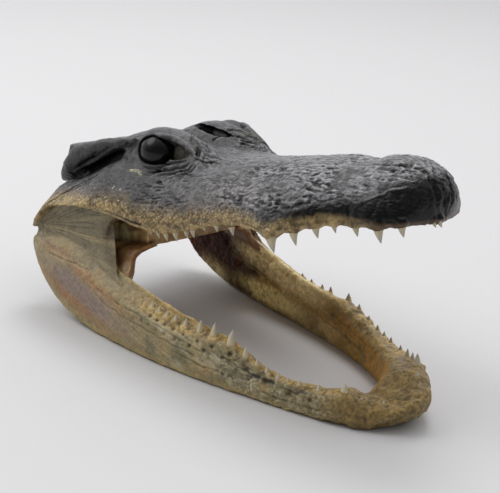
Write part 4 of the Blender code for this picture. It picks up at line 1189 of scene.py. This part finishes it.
# Each kind of skin rises and sinks by its own shares of these, in mm.
gum_edge = clamped(crest + 0.5 * outer_face * smoothstep(4.5, 6.6, w))
grain = is_outer * (0.24 * lumps + 0.05 * fine)
grain += rough_crown * (0.26 * knobs + 0.10 * ridged + 0.12 * flakes)
grain -= rough_crown * patchy * (0.42 * streaks + 0.32 * slashes)
grain -= snout_top * (1.0 - 0.8 * black_side) * 0.30 * pits
grain += black_side * (0.14 * knobs - 0.10 * crackle)
grain += lip_share * (0.28 * (granule - 0.4) + 0.12 * knobs)
grain += is_outer * glint_speck_zone * 0.14 * glint_specks
grain += is_ear * (0.45 * lumps + 0.22 * knobs - 0.20 * crackle)
grain += is_jaw * (0.20 * lumps + 0.10 * knobs + 0.06 * fine + 0.55 * gum_mounds)
grain -= (0.05 * outer_face + 0.18 * streaked) * jaw_lines
grain += gum_edge * (0.12 * (granule - 0.4) + 0.25 * knobs)
grain += chin_share * (0.75 * lumps + 0.16 * knobs + 0.10 * fine)
grain += 0.50 * wall_lumps - 0.75 * (holes + sockets)
grain += inner_face * (0.25 * lumps - 0.08 * jaw_lines)
grain += rear_inside * (0.34 * knobs + 0.30 * lumps)
grain += is_cheek * (0.16 * lumps - 0.12 * fan_lines + 0.06 * knobs)
grain += (is_wings + is_under + is_web) * (0.25 * lumps + 0.16 * knobs)
normal = normals_of(skin)
skin = skin + normal * (grain * MM * (1.0 - 0.8 * (lid_reach < 1.05)))[:, None]

# A collar of gum round each tooth.
for root, tip, radius, _ in [*upper_teeth(), *lower_teeth()]:
    neck = root + (tip - root) * TOOTH_ROOT / np.linalg.norm(tip - root)
    away = np.linalg.norm(skin - neck, axis=1)
    near = np.flatnonzero(away < 3.0 * radius)
    collar = np.exp(-((away[near] - 1.5 * radius) / (0.6 * radius)) ** 2)
    skin[near] += collar[:, None] * unit(tip - root) * 0.30 * radius
skin[:, 2] = np.maximum(skin[:, 2], 0.0001)

# ------------------------------------------------------------------------------ colours
CHARCOAL = srgb(44, 44, 45)
PALE_GREY = srgb(112, 111, 113)
BLACK = srgb(8, 8, 8)
BROWN_GREY = srgb(100, 88, 76)
# Pale of the specks painted as glints.
GLINT_SPECK = srgb(206, 200, 186)
CRACK_PALE = srgb(196, 190, 150)
# Black of the painted shade in cut hollows, under the ear flaps and in the eye sockets.
SHADE_BLACK = srgb(9, 9, 10)
SOCKET_SHADE_BLACK = srgb(8, 8, 9)
LID_GREY = srgb(36, 36, 38)
CORNER_OLIVE = srgb(52, 49, 37)
EAR_OLIVE = srgb(46, 45, 44)
LIP_OCHRE = srgb(158, 136, 92)
LIP_DARK = srgb(76, 62, 40)
LIP_PALE = srgb(196, 178, 136)
LIP_FRONT = srgb(58, 40, 34)
SIDE_OLIVE = srgb(160, 143, 102)
FRONT_OLIVE = srgb(112, 102, 72)
GREEN_GREY = srgb(120, 112, 82)
WARM_BROWN = srgb(140, 102, 58)
RUST = srgb(158, 106, 62)
REDDISH = srgb(126, 88, 60)
VIOLET = srgb(134, 116, 108)
EDGE_YELLOW = srgb(184, 160, 98)
PALE_LINE = srgb(200, 190, 158)
GUM = srgb(170, 144, 88)
GUM_DARK = srgb(96, 80, 46)
# Painted shade in the sunken parts of the broken wall.
WALL_SHADE = srgb(62, 54, 36)
WALL_PALE = srgb(176, 168, 142)
CHIN_OCHRE = srgb(133, 110, 60)
CRUST = srgb(140, 128, 98)
MUSCLE = srgb(66, 33, 18)
MUSCLE_VIOLET = srgb(54, 32, 25)
BONE = srgb(176, 160, 116)
BONE_SHADE = srgb(128, 108, 66)
BONE_PALE = srgb(226, 206, 142)
CREAM = srgb(238, 216, 160)
AMBER = srgb(170, 128, 62)
FAN_GREEN = srgb(124, 114, 88)
FAN_DARK = srgb(74, 68, 46)
FAN_PALE = srgb(168, 152, 112)
TISSUE = srgb(178, 146, 92)
TISSUE_DARK = srgb(74, 46, 24)
TISSUE_PALE = srgb(206, 190, 132)
WEB_BROWN = srgb(104, 58, 26)
PALATE = srgb(158, 122, 78)
PALATE_REAR = srgb(120, 92, 60)

LIP_BAND = profile((-5, 4.0), (8, 5.6), (22, 6.2), (36, 8.0), (50, 10.0), (60, 10.4), (72, 9.5), (85, 8.0),
                   (100, 6.6), (112, 5.6), (125, 5.0), (140, 4.2), (152, 3.6), (160, 2.8), (170, 1.4))

tone = layered(base, 7.0 * MM, 3, seed=101)
mottle = layered(base, 2.2 * MM, 3, seed=111)
dapple = layered(base, 0.9 * MM, 2, seed=121)
edge_shift = 2.2 * MM * layered(base, 5.0 * MM, 4, seed=131)

# The dark upper skin.
crown = mixed(CHARCOAL, PALE_GREY, 0.30 + 0.8 * tone + 0.5 * mottle + 0.4 * dapple + 0.3 * ridged)
crown = mixed(crown, BROWN_GREY, 0.50 * spot(u, above_lip, *BROWN_SIDE) * (0.6 + 0.4 * mottle))
crown = mixed(crown, PALE_GREY, 0.45 * flakes * rough_crown)
crown = darkened(crown, 0.37 * fading(*DARK_REAR_STOPS, u))
crown = darkened(crown, 0.42 * spot(u, v, *ROUND_EYES) * smoothstep(4.0 * MM, 8.0 * MM, above_lip))
crown = mixed(crown, BLACK, 1.15 * black_side)
crown = mixed(crown, PALE_GREY, 0.8 * pale_ridge)

# The granular lip, and how it turns into the dark skin over it.
lip = mixed(LIP_OCHRE, LIP_DARK, 0.35 - 0.9 * mottle - 0.5 * tone)
lip = mixed(lip, LIP_PALE, 0.5 * clamped(1.4 * granule - 0.75 + 0.5 * dapple))
lip_edge = LIP_BAND(u) + edge_shift * (1.0 - 0.85 * smoothstep(0.090, 0.125, u))
lip_height = above_lip / np.maximum(lip_edge, 0.4 * MM)
browning = smoothstep(0.45, 0.85, lip_height + 0.25 * mottle) * fading(0.10, 0.12, u)
lip = mixed(lip, BROWN_GREY, 0.50 * browning)
lip = mixed(lip, LIP_FRONT, 0.8 * smoothstep(*LIP_FRONT_ZONE, u + edge_shift))
head_tint = mixed(lip, crown, smoothstep(0.50, 1.30, lip_height + 0.20 * dapple + 0.25 * mottle))
# Painted glints: pale specks.
head_tint = mixed(head_tint, GLINT_SPECK, 0.8 * glint_specks * glint_speck_zone)
flaking = clamped(2.2 * pale_crack - 0.4 + 0.6 * dapple) * (pale_crack > 0.1)
head_tint = mixed(head_tint, CRACK_PALE, flaking)

# Ear flaps, and painted shade under them, in the recesses beside them and in every hollow that was cut.
ear_slit_shade = stroke(EAR_SLIT, 3.8, ends=0.10)
ear_shade = stroke(EAR_SHADE, 3.4, ends=0.10)
under_flap_shade = smoothstep(0.4 * MM, 2.4 * MM, EAR_MIDDLE(u) - v) * smoothstep(0.003, 0.009, u) * is_ear
hollow_shade = np.maximum(smoothstep(0.9 * MM, 2.0 * MM, cut_depth), clamped(1.8 * ear_slit_shade) * (1.0 - is_ear))
hollow_shade = np.maximum(np.maximum(hollow_shade, under_flap_shade), clamped(1.5 * ear_shade) * is_head)
head_tint = mixed(head_tint, EAR_OLIVE, is_ear * 1.2)
head_tint = mixed(head_tint, SHADE_BLACK, hollow_shade)
in_corner = np.maximum(corner_hollow, corner_flesh)
head_tint = mixed(head_tint, CORNER_OLIVE, in_corner * (0.85 + 0.15 * mottle))

# The palate, the fan of muscle at the cheek, and the tissue behind the mouth.
palate = mixed(PALATE, PALATE_REAR, 0.4 - 0.8 * tone + (0.06 - u) / 0.06)
palate = mixed(palate, TISSUE_DARK, 0.8 * fading(0.004, 0.026, u + edge_shift))
fan = mixed(FAN_GREEN, FAN_DARK, 0.28 * fan_lines + 0.05 + 0.5 * mottle)
fan = mixed(fan, FAN_PALE, 0.6 * clamped(noise(fan_place, 1.6 * MM, 27) + 0.1))
fan = mixed(fan, TISSUE_DARK, 0.35 * smoothstep(0.86, 1.0, first) * is_cheek)
wings = mixed(TISSUE, TISSUE_DARK, 0.22 - 0.8 * tone - 0.4 * mottle)
ovals = np.maximum(spot(u, v, *TISSUE_OVALS[0]), 0.7 * spot(u, v, *TISSUE_OVALS[1]))
wings = mixed(wings, TISSUE_PALE, clamped(1.5 * ovals) * (np.abs(y) > 0.018))
wings = mixed(wings, WEB_BROWN, is_web * smoothstep(0.006, 0.010, -v) * (0.75 - 0.4 * tone))

# The lower jaw's outer face, from its olive ground to the rust-edged violet patch.
z = base[:, 2]
jaw = mixed(SIDE_OLIVE, GREEN_GREY, 0.4 + 1.1 * tone)
jaw = mixed(jaw, WARM_BROWN, 0.7 * clamped(-0.2 - 1.2 * tone + 0.5 * mottle))
line_share = 0.06 * outer_face + 0.55 * streaked * smoothstep(-0.35, 0.10, mottle)
jaw = mixed(jaw, PALE_LINE, line_share * jaw_lines)
jaw = mixed(jaw, GUM_DARK, 0.5 * clamped(-1.6 * mottle - 0.35))
ahead, up = jaw_x - PATCH_CENTRE[0], z - PATCH_CENTRE[1]
slant = ahead * 0.82 - up * 0.57 + edge_shift
across = ahead * 0.26 + up * 0.965 + 0.5 * edge_shift
patch = spot(slant, across, *VIOLET_PATCH) * outer_face
rim = np.maximum(spot(slant, across, *RUST_UNDER), 0.8 * spot(slant, across, *RUST_OVER)) * outer_face
jaw = mixed(jaw, RUST, 0.75 * rim)
jaw = mixed(jaw, VIOLET, clamped(1.5 * patch) * (0.85 + 0.15 * mottle))
reddish = band(z, 0.0262, 0.0300, 0.001) * band(jaw_x, 0.026, 0.062, 0.006) * outer_face
jaw = mixed(jaw, REDDISH, 0.8 * reddish)
keel = outer_face * fading(*KEEL_STEPS, w) * smoothstep(*KEEL_ZONE, jaw_x)
jaw = mixed(jaw, EDGE_YELLOW, 0.8 * keel * clamped(0.6 + granule * 0.5 + mottle))
front_olive = outer_face * smoothstep(*FRONT_OLIVE_ZONE, jaw_x) * smoothstep(3.6, 5.4, w)
jaw = mixed(jaw, FRONT_OLIVE, 0.6 * front_olive)

# Gum, the broken front of the wall with painted shade in its sunken parts, and the crusted chin.
gum = mixed(GUM, GUM_DARK, 0.25 - 0.9 * mottle - 0.3 * tone)
gum = mixed(gum, LIP_PALE, 0.5 * clamped(1.3 * granule - 0.8 + 0.5 * tone))
gum_share = clamped(crest + 0.7 * outer_face * smoothstep(5.6, 6.8, w) * smoothstep(0.05, 0.09, jaw_x))
jaw = mixed(jaw, gum, gum_share)
# The wall's sunken parts get painted shade.
sunken_shade = smoothstep(0.05, 0.55, -wall_lumps) * smoothstep(2.6, 4.0, w)
raised = smoothstep(0.10, 0.55, wall_lumps) * smoothstep(0.1, 0.5, granule)
jaw = mixed(jaw, WALL_SHADE, 0.6 * jaw_front * sunken_shade)
jaw = mixed(jaw, WALL_PALE, 0.45 * jaw_front * raised)
chin = mixed(CHIN_OCHRE, GUM_DARK, 0.25 - 0.4 * mottle - 0.8 * tone)
crusted = clamped(-0.1 + 1.6 * tone + 0.5 * mottle + 0.4 * granule) * outer_face * fading(2.6, 4.4, w)
chin = mixed(chin, CRUST, crusted)
jaw = mixed(jaw, chin, chin_share * (1.0 - 0.4 * inner_face))

# The jaw's inner face: amber ahead, dark muscle behind, bone along its foot, and the pale bar.
inner = mixed(AMBER, CHIN_OCHRE, 0.4 + 1.2 * tone)
inner = mixed(inner, GUM_DARK, -0.2 - 1.2 * mottle)
muscle = mixed(MUSCLE, MUSCLE_VIOLET, 0.4 + 1.2 * tone + 0.5 * mottle)
inner = mixed(inner, muscle, fading(*MUSCLE_STOPS, jaw_x + 1.6 * edge_shift + 0.35 * (0.012 - z)))
bone = mixed(BONE, BONE_SHADE, 0.4 + 1.2 * tone + 0.4 * mottle)
bone_foot = smoothstep(*BONE_ZONE, jaw_x) * fading(0.0075, 0.0115, z + 0.6 * edge_shift)
inner = mixed(inner, bone, 0.75 * bone_foot * fading(*BONE_STOPS, jaw_x))
inner = mixed(inner, bone, 1.5 * spot(jaw_x + edge_shift, z, *BONE_SPOT))
pale_wedge = spot(jaw_x + 0.5 * edge_shift, z + 0.2 * edge_shift, *PALE_WEDGE)
inner = mixed(inner, BONE_PALE, clamped(2.2 * pale_wedge) * 0.85)
inner = mixed(inner, CREAM, 1.6 * stroke(JAW_BAR, 2.0, from_jaw, 0.1))
jaw = mixed(jaw, inner, inner_face * 1.3)
strip = is_jaw * band(w, *STRIP_STEPS, 0.4) * band(jaw_x, 0.058, 0.112, 0.010)
jaw = mixed(jaw, mixed(CREAM, AMBER, 0.10 + 0.6 * mottle), 0.95 * strip)
# Painted shade in the holes of the wall and in the pits beside the lower teeth.
jaw = mixed(jaw, GUM_DARK, 1.2 * sockets + 1.1 * holes)

# All of it together.
inside_mouth = is_under * fading(0.84, 0.93, side_share) * fading(*MOUTH_STOPS, u)
tint = mixed(head_tint, palate, inside_mouth)
tint = mixed(tint, jaw, is_jaw)
tint = mixed(tint, fan, is_cheek)
tint = mixed(tint, wings, is_wings + is_web)
behind_cheek = band(np.abs(y), 0.0200, 0.0310, 0.002) * (1.0 - is_jaw) * (1.0 - is_cheek)
slot_pale = np.maximum(spot(u, v, *SLOT_SPOTS[0]), spot(u, v, *SLOT_SPOTS[1]))
tint = mixed(tint, TISSUE_PALE, clamped(1.8 * slot_pale) * behind_cheek)

# The cut of the neck.
normal = normals_of(skin)
rear_face = smoothstep(0.60, 0.85, normal @ direction_in_head(-1.0, 0.0, 0.0)) * fading(0.008, 0.014, u)
rear_face = rear_face * clamped(is_head + is_ear * (np.abs(y) < 0.0225))
neck_cut = mixed(TISSUE_DARK, BROWN_GREY, 0.35 + 1.2 * tone + 0.6 * mottle)
tint = mixed(tint, neck_cut, rear_face)

# The lids, and painted shade in the socket behind them.
socket_shade = blurred(((lid_reach < 1.10) & (lid_depth < 0.8 * MM)).astype(float), 1)
tint = mixed(tint, LID_GREY, 0.8 * is_lid * (1.0 - corner_hollow) * (1.0 - corner_flesh))
tint = mixed(tint, SOCKET_SHADE_BLACK, socket_shade * (1.0 - corner_hollow))

# Painted shade in folds and cracks, with painted shade in small hollows and painted highlight on ridges.
even = blurred(skin, 2)
broad = blurred(even, 10)
ridge = np.clip(np.einsum("ij,ij->i", skin - even, normal) / (0.05 * MM), -1.0, 1.0)
mound = np.clip(np.einsum("ij,ij->i", even - broad, normal) / (0.22 * MM), -1.0, 1.0)
crack_shade = clamped(0.55 * pits * snout_top + rough_crown * patchy * (0.95 * streaks + 0.85 * slashes))
tint = darkened(tint, 0.80 * clamped(fold_shade))
tint = darkened(tint, 0.85 * crack_shade)
relief_shading = (0.40 + 0.42 * crown_share) * ridge + (0.22 + 0.42 * crown_share) * mound
tint = tint * (1.0 + relief_shading)[:, None]
tint = np.clip(tint * (1.0 + 0.22 * dapple)[:, None], 0.002, 0.95)

roughness = 0.54 + 0.10 * mottle + is_outer * (-0.18 + 0.10 * tone) - 0.10 * is_ear - 0.16 * black_side
roughness = np.clip(roughness - 0.14 * (is_under + is_wings + is_web + rear_inside), 0.18, 0.9)
shine = 0.50 - 0.22 * black_side - 0.14 * is_outer * fading(0.070, 0.092, u)
shine = shine - 0.30 * inner_face - 0.16 * rear_inside
# The painted shade in hollows and sockets also loses its shine.
shine = shine * (1.0 - 0.95 * clamped(np.maximum(hollow_shade * is_head, socket_shade)))
relief = clamped(0.30 + 0.70 * crown_share + 0.3 * chin_share + 0.2 * lip_share + 0.4 * is_ear)


# ---------------------------------------------------------------------------- materials
FINE_GRAIN = {"Scale": 1800.0, "Detail": 4.0}
COARSE_GRAIN = {"Scale": 900.0, "Detail": 3.0, "Roughness": 0.7}
FINE_SHADES = {"To Min": 0.72, "To Max": 1.28}
SKIN_BUMPS = {"Strength": 0.9, "Distance": 0.0004}
GLASS_SMEAR = {"Scale": 260.0}
GLASS_ROUGHNESS = {"To Min": 0.06, "To Max": 0.34}
GLASS_LOOKS = {"Base Color": (0.003, 0.003, 0.0035, 1.0), "Specular IOR Level": 0.28}
TOOTH_GRAIN = {"Scale": 900.0}
TOOTH_GRAIN_SHARE = 0.35
TOOTH_LOOKS = {"Roughness": 0.32, "Subsurface Weight": 0.3, "Subsurface Radius": (0.002, 0.0014, 0.0008)}
# Colours up a tooth, from the gum to the tip.
TOOTH_COLOURS = ((0.30, srgb(150, 120, 74)), (0.62, srgb(202, 188, 154)), (1.10, srgb(186, 180, 162)))
FLOOR_LOOKS = {"Base Color": (0.60, 0.598, 0.60, 1.0), "Roughness": 0.8, "Specular IOR Level": 0.0}


def new_material(name):
    material = bpy.data.materials.new(name)
    material.use_nodes = True
    return material, material.node_tree, material.node_tree.nodes["Principled BSDF"]


def set_inputs(node, values):
    for word, value in values.items():
        node.inputs[word].default_value = value


def new_node(tree, kind, **values):
    """A shader node of a kind, with its own settings."""
    node = tree.nodes.new("ShaderNode" + kind)
    for word, value in values.items():
        setattr(node, word, value)
    return node


def point_field(tree, name):
    """A value that the points of a mesh carry."""
    return new_node(tree, "Attribute", attribute_name=name)


def object_noise(tree, values):
    """Noise that is laid through the object's own space."""
    place = new_node(tree, "TexCoord")
    node = new_node(tree, "TexNoise")
    set_inputs(node, values)
    tree.links.new(place.outputs["Object"], node.inputs["Vector"])
    return node.outputs["Fac"]


def into_range(tree, value, limits, **values):
    """A value spread between new limits."""
    node = new_node(tree, "MapRange", **values)
    set_inputs(node, limits)
    tree.links.new(value, node.inputs["Value"])
    return node.outputs["Result"]


def skin_material():
    material, tree, shader = new_material("dried_skin")
    link = tree.links.new
    dappled = new_node(tree, "VectorMath", operation="SCALE")
    link(point_field(tree, "tint").outputs["Color"], dappled.inputs[0])
    link(into_range(tree, object_noise(tree, FINE_GRAIN), FINE_SHADES), dappled.inputs["Scale"])
    link(dappled.outputs["Vector"], shader.inputs["Base Color"])
    link(point_field(tree, "rough").outputs["Fac"], shader.inputs["Roughness"])
    link(point_field(tree, "shine").outputs["Fac"], shader.inputs["Specular IOR Level"])
    height = new_node(tree, "Math", operation="MULTIPLY")
    link(object_noise(tree, COARSE_GRAIN), height.inputs[0])
    link(point_field(tree, "relief").outputs["Fac"], height.inputs[1])
    bumps = new_node(tree, "Bump")
    set_inputs(bumps, SKIN_BUMPS)
    link(height.outputs["Value"], bumps.inputs["Height"])
    link(bumps.outputs["Normal"], shader.inputs["Normal"])
    return material


def eye_material():
    material, tree, shader = new_material("eye_glass")
    dull = into_range(tree, object_noise(tree, GLASS_SMEAR), GLASS_ROUGHNESS)
    tree.links.new(dull, shader.inputs["Roughness"])
    set_inputs(shader, GLASS_LOOKS)
    return material


def tooth_material():
    material, tree, shader = new_material("tooth_enamel")
    link = tree.links.new
    shade = new_node(tree, "Math", operation="MULTIPLY_ADD")
    shade.inputs[1].default_value = TOOTH_GRAIN_SHARE
    link(object_noise(tree, TOOTH_GRAIN), shade.inputs[0])
    link(point_field(tree, "height").outputs["Fac"], shade.inputs[2])
    ramp = new_node(tree, "ValToRGB")
    stops = ramp.color_ramp.elements
    stops.new(TOOTH_COLOURS[1][0])
    for stop, (position, colour) in zip(stops, TOOTH_COLOURS):
        stop.position = position
        stop.color = (*colour, 1.0)
    link(shade.outputs["Value"], ramp.inputs["Fac"])
    link(ramp.outputs["Color"], shader.inputs["Base Color"])
    set_inputs(shader, TOOTH_LOOKS)
    return material


SKIN = skin_material()
GLASS = eye_material()
ENAMEL = tooth_material()


# ------------------------------------------------------------------------- skin pieces
MAP_WIDTH = 0.34
MAP_GAP = 0.002
# Where the snout's piece of skin starts on the upper head.
SNOUT_FROM = 0.0777


def bake_map(places, normals, keys):
    """Lay each patch of faces that look one way flat beside the others."""
    facing = np.argmax(np.abs(normals), axis=1)
    sign = normals[np.arange(len(normals)), facing] > 0.0
    patch = (facing * 2 + sign) * 100 + keys
    flat = np.zeros((len(places), 4, 2))
    shelf_x, shelf_y, shelf_height = 0.0, 0.0, 0.0
    for key in np.unique(patch):
        chosen = patch == key
        axes = [axis for axis in range(3) if axis != facing[chosen][0]]
        spread = places[chosen][:, :, axes]
        low = spread.reshape(-1, 2).min(axis=0)
        size = spread.reshape(-1, 2).max(axis=0) - low
        if shelf_x + size[0] > MAP_WIDTH:
            shelf_x, shelf_y, shelf_height = 0.0, shelf_y + shelf_height + MAP_GAP, 0.0
        flat[chosen] = spread - low + (shelf_x, shelf_y)
        shelf_x += size[0] + MAP_GAP
        shelf_height = max(shelf_height, size[1])
    return flat / max(flat.max(), 1e-9)


def smooth_faces(mesh):
    mesh.polygons.foreach_set("use_smooth", np.ones(len(mesh.polygons), dtype=bool))


def skin_piece(name, chosen, *nodes):
    """Cut one piece out of the skin, with normals that carry on over the cut."""
    picked = quads[chosen]
    used, local = np.unique(picked, return_inverse=True)
    mesh = mesh_of(name, skin[used], local.reshape(-1, 4).tolist())
    smooth_faces(mesh)
    colour = mesh.attributes.new("tint", "FLOAT_COLOR", "POINT")
    colour.data.foreach_set("color", np.column_stack((tint[used], np.ones(len(used)))).ravel())
    for word, values in (("rough", roughness), ("relief", relief), ("shine", shine)):
        field = mesh.attributes.new(word, "FLOAT", "POINT")
        field.data.foreach_set("value", values[used])
    corners = base[picked]
    facing = np.cross(corners[:, 2] - corners[:, 0], corners[:, 3] - corners[:, 1])
    keys = region[picked[:, 0]] * 2 + (corners[:, 0, 1] > 0.0)
    uv = mesh.uv_layers.new(name="OFBake")
    uv.data.foreach_set("uv", bake_map(corners, facing, keys).ravel())
    mesh.normals_split_custom_set_from_vertices(skin_normals[used].tolist())
    mesh.materials.append(SKIN)
    piece = new_object(name, mesh)
    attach(piece, "root")
    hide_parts(*nodes)
    return piece


skin_normals = normals_of(skin)
face_region = np.round(np.median(region[quads], axis=1))
face_u = u[quads].mean(axis=1)
face_y = base[quads][:, :, 1].mean(axis=1)
in_jaw = face_region == JAW
in_snout = (face_region == HEAD) & (face_u > SNOUT_FROM)
for word, chosen in (("right", face_y < 0.0), ("left", face_y >= 0.0)):
    skin_piece(f"skin_snout_{word}", in_snout & chosen, "snout")
    skin_piece(f"skin_cranium_{word}", ~in_jaw & ~in_snout & chosen, "cranium", f"brow_{word}",
                       f"ear_flap_{word}", f"cheek_{word}", "palate_wings")
    skin_piece(f"skin_jaw_{word}", in_jaw & chosen, f"jaw_{word}", "chin")
bpy.data.meshes.remove(skin_mesh)


# ------------------------------------------------------------------------ eyes and teeth
for side, word in ((-1.0, "right"), (1.0, "left")):
    name = f"glass_eye_{word}"
    ball, ball_faces = round_mesh(segments=96, rings=48)
    eye = new_object(name, mesh_of(name, eye_frame(side)[0] + EYE_RADIUS * ball, ball_faces))
    smooth_faces(eye.data)
    eye.data.materials.append(GLASS)
    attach(eye, "root")
    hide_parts(f"eye_{word}")

# A tooth narrows to its tip by these powers; it is a little flattened, ribbed and bent.
TOOTH_POWERS = (1.30, 0.85)
TOOTH_PINCH = 0.30
TOOTH_BEND = 0.05
TOOTH_RIB = 0.035
TOOTH_FLATNESS = 0.9


def add_tooth(points, faces, root, tip, radius, lean, sides=16, rows=12):
    """A stout cone from inside the gum to a blunt tip, bent a little to one side."""
    axis = unit(tip - root)
    across = unit(np.cross(axis, lean))
    third = np.cross(across, axis)
    length = np.linalg.norm(tip - root)
    start = len(points)
    turns = 2.0 * math.pi * np.arange(sides) / sides
    ribs = 1.0 + TOOTH_RIB * np.cos(5.0 * turns + 2.0 * start)
    for s in np.arange(rows) / (rows - 1.0):
        size = (TOOTH_FULLNESS * radius + TOOTH_SWELL) * (1.0 - s ** TOOTH_POWERS[0]) ** TOOTH_POWERS[1]
        size *= 1.0 - TOOTH_PINCH * max(0.0, 1.0 - s / TOOTH_NECK) ** 2
        middle = root + axis * length * s + third * length * TOOTH_BEND * (4.0 * s * (1.0 - s) - s * s)
        ring = np.cos(turns)[:, None] * across + TOOTH_FLATNESS * np.sin(turns)[:, None] * third
        points.extend((middle + size * ribs[:, None] * ring).tolist())
    for row in range(start, start + (rows - 1) * sides, sides):
        for k in range(sides):
            after = (k + 1) % sides
            faces.append((row + k, row + after, row + sides + after, row + sides + k))
    faces.append(tuple(range(start + sides - 1, start - 1, -1)))
    faces.append(tuple(range(start + (rows - 1) * sides, start + rows * sides)))
    return np.repeat(np.arange(rows) / (rows - 1.0), sides).tolist()


def teeth_piece(name, teeth):
    """All teeth of one row, with how far up a tooth each point lies."""
    points, faces, along = [], [], []
    for root, tip, radius, side in teeth:
        along += add_tooth(points, faces, root, tip, radius, np.array((0.0, side, 0.0)))
    mesh = mesh_of(name, points, faces)
    smooth_faces(mesh)
    height = mesh.attributes.new("height", "FLOAT", "POINT")
    height.data.foreach_set("value", along)
    mesh.materials.append(ENAMEL)
    piece = new_object(name, mesh)
    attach(piece, "root")


teeth_piece("teeth_upper", upper_teeth())
teeth_piece("teeth_lower", lower_teeth())


# --------------------------------------------------------------- floor, lights and camera
FLOOR_REACH = 6.0
LIGHTS_LOOK_AT = (0.0, 0.0, 0.05)
# A pale studio: the way it is brightest, how that fades, and its light.
STUDIO_BRIGHT = (-0.50, 0.50, 0.60)
STUDIO_FADE = {"From Min": -0.35, "From Max": 0.80, "To Min": 0.22, "To Max": 1.15}
STUDIO_COLOUR = (0.97, 0.97, 0.99, 1.0)
CAMERA_TURN, CAMERA_TILT, CAMERA_ROLL = (math.radians(angle) for angle in (45.0, 18.95, 5.3))
CAMERA_AIM = (0.100 + SHIFT_X, 0.0, 0.0408)
CAMERA_DISTANCE = 0.5
CAMERA_SENSOR = 36.0
CAMERA_LENS = 2.574 * CAMERA_SENSOR


def area_light(name, place, size, power):
    data = bpy.data.lights.new(name, "AREA")
    data.shape = "DISK"
    data.size = size
    data.energy = power
    lamp = new_object(name, data)
    lamp.location = place
    lamp.rotation_euler = (Vector(LIGHTS_LOOK_AT) - Vector(place)).to_track_quat("-Z", "Y").to_euler()


def add_floor():
    corners = [(x * FLOOR_REACH, y * FLOOR_REACH, 0.0) for x, y in ((-1, -1), (1, -1), (1, 1), (-1, 1))]
    mesh = mesh_of("floor", corners, [(0, 1, 2, 3)])
    material, _, shader = new_material("studio_floor")
    set_inputs(shader, FLOOR_LOOKS)
    mesh.materials.append(material)
    new_object("floor", mesh)


def add_world():
    """A pale studio, lighter behind and over the head than in front of it."""
    world = bpy.data.worlds.new("studio")
    world.use_nodes = True
    tree = world.node_tree
    place = new_node(tree, "TexCoord")
    facing = new_node(tree, "VectorMath", operation="DOT_PRODUCT")
    facing.inputs[1].default_value = unit(STUDIO_BRIGHT).tolist()
    tree.links.new(place.outputs["Generated"], facing.inputs[0])
    light = into_range(tree, facing.outputs["Value"], STUDIO_FADE, interpolation_type="SMOOTHSTEP")
    background = tree.nodes["Background"]
    background.inputs["Color"].default_value = STUDIO_COLOUR
    tree.links.new(light, background.inputs["Strength"])
    bpy.context.scene.world = world


def add_camera():
    level = math.cos(CAMERA_TILT)
    back = Vector((math.sin(CAMERA_TURN) * level, -math.cos(CAMERA_TURN) * level, math.sin(CAMERA_TILT)))
    right = (-back).cross(Vector((0.0, 0.0, 1.0))).normalized()
    upright = right.cross(-back)
    across = right * math.cos(CAMERA_ROLL) + upright * math.sin(CAMERA_ROLL)
    upward = upright * math.cos(CAMERA_ROLL) - right * math.sin(CAMERA_ROLL)
    data = bpy.data.cameras.new("camera")
    data.sensor_width = CAMERA_SENSOR
    data.lens = CAMERA_LENS
    data.clip_start = 0.01
    camera = new_object("camera", data)
    camera.matrix_world = Matrix((across, upward, back)).transposed().to_4x4()
    camera.matrix_world.translation = Vector(CAMERA_AIM) + back * CAMERA_DISTANCE
    bpy.context.scene.camera = camera


add_floor()
add_camera()
area_light("window", (-0.62, -0.55, 0.85), 0.8, 4.5)
area_light("top", (-0.40, 0.45, 1.25), 0.6, 6.0)
add_world()
bpy.context.scene.view_settings.view_transform = "Standard"
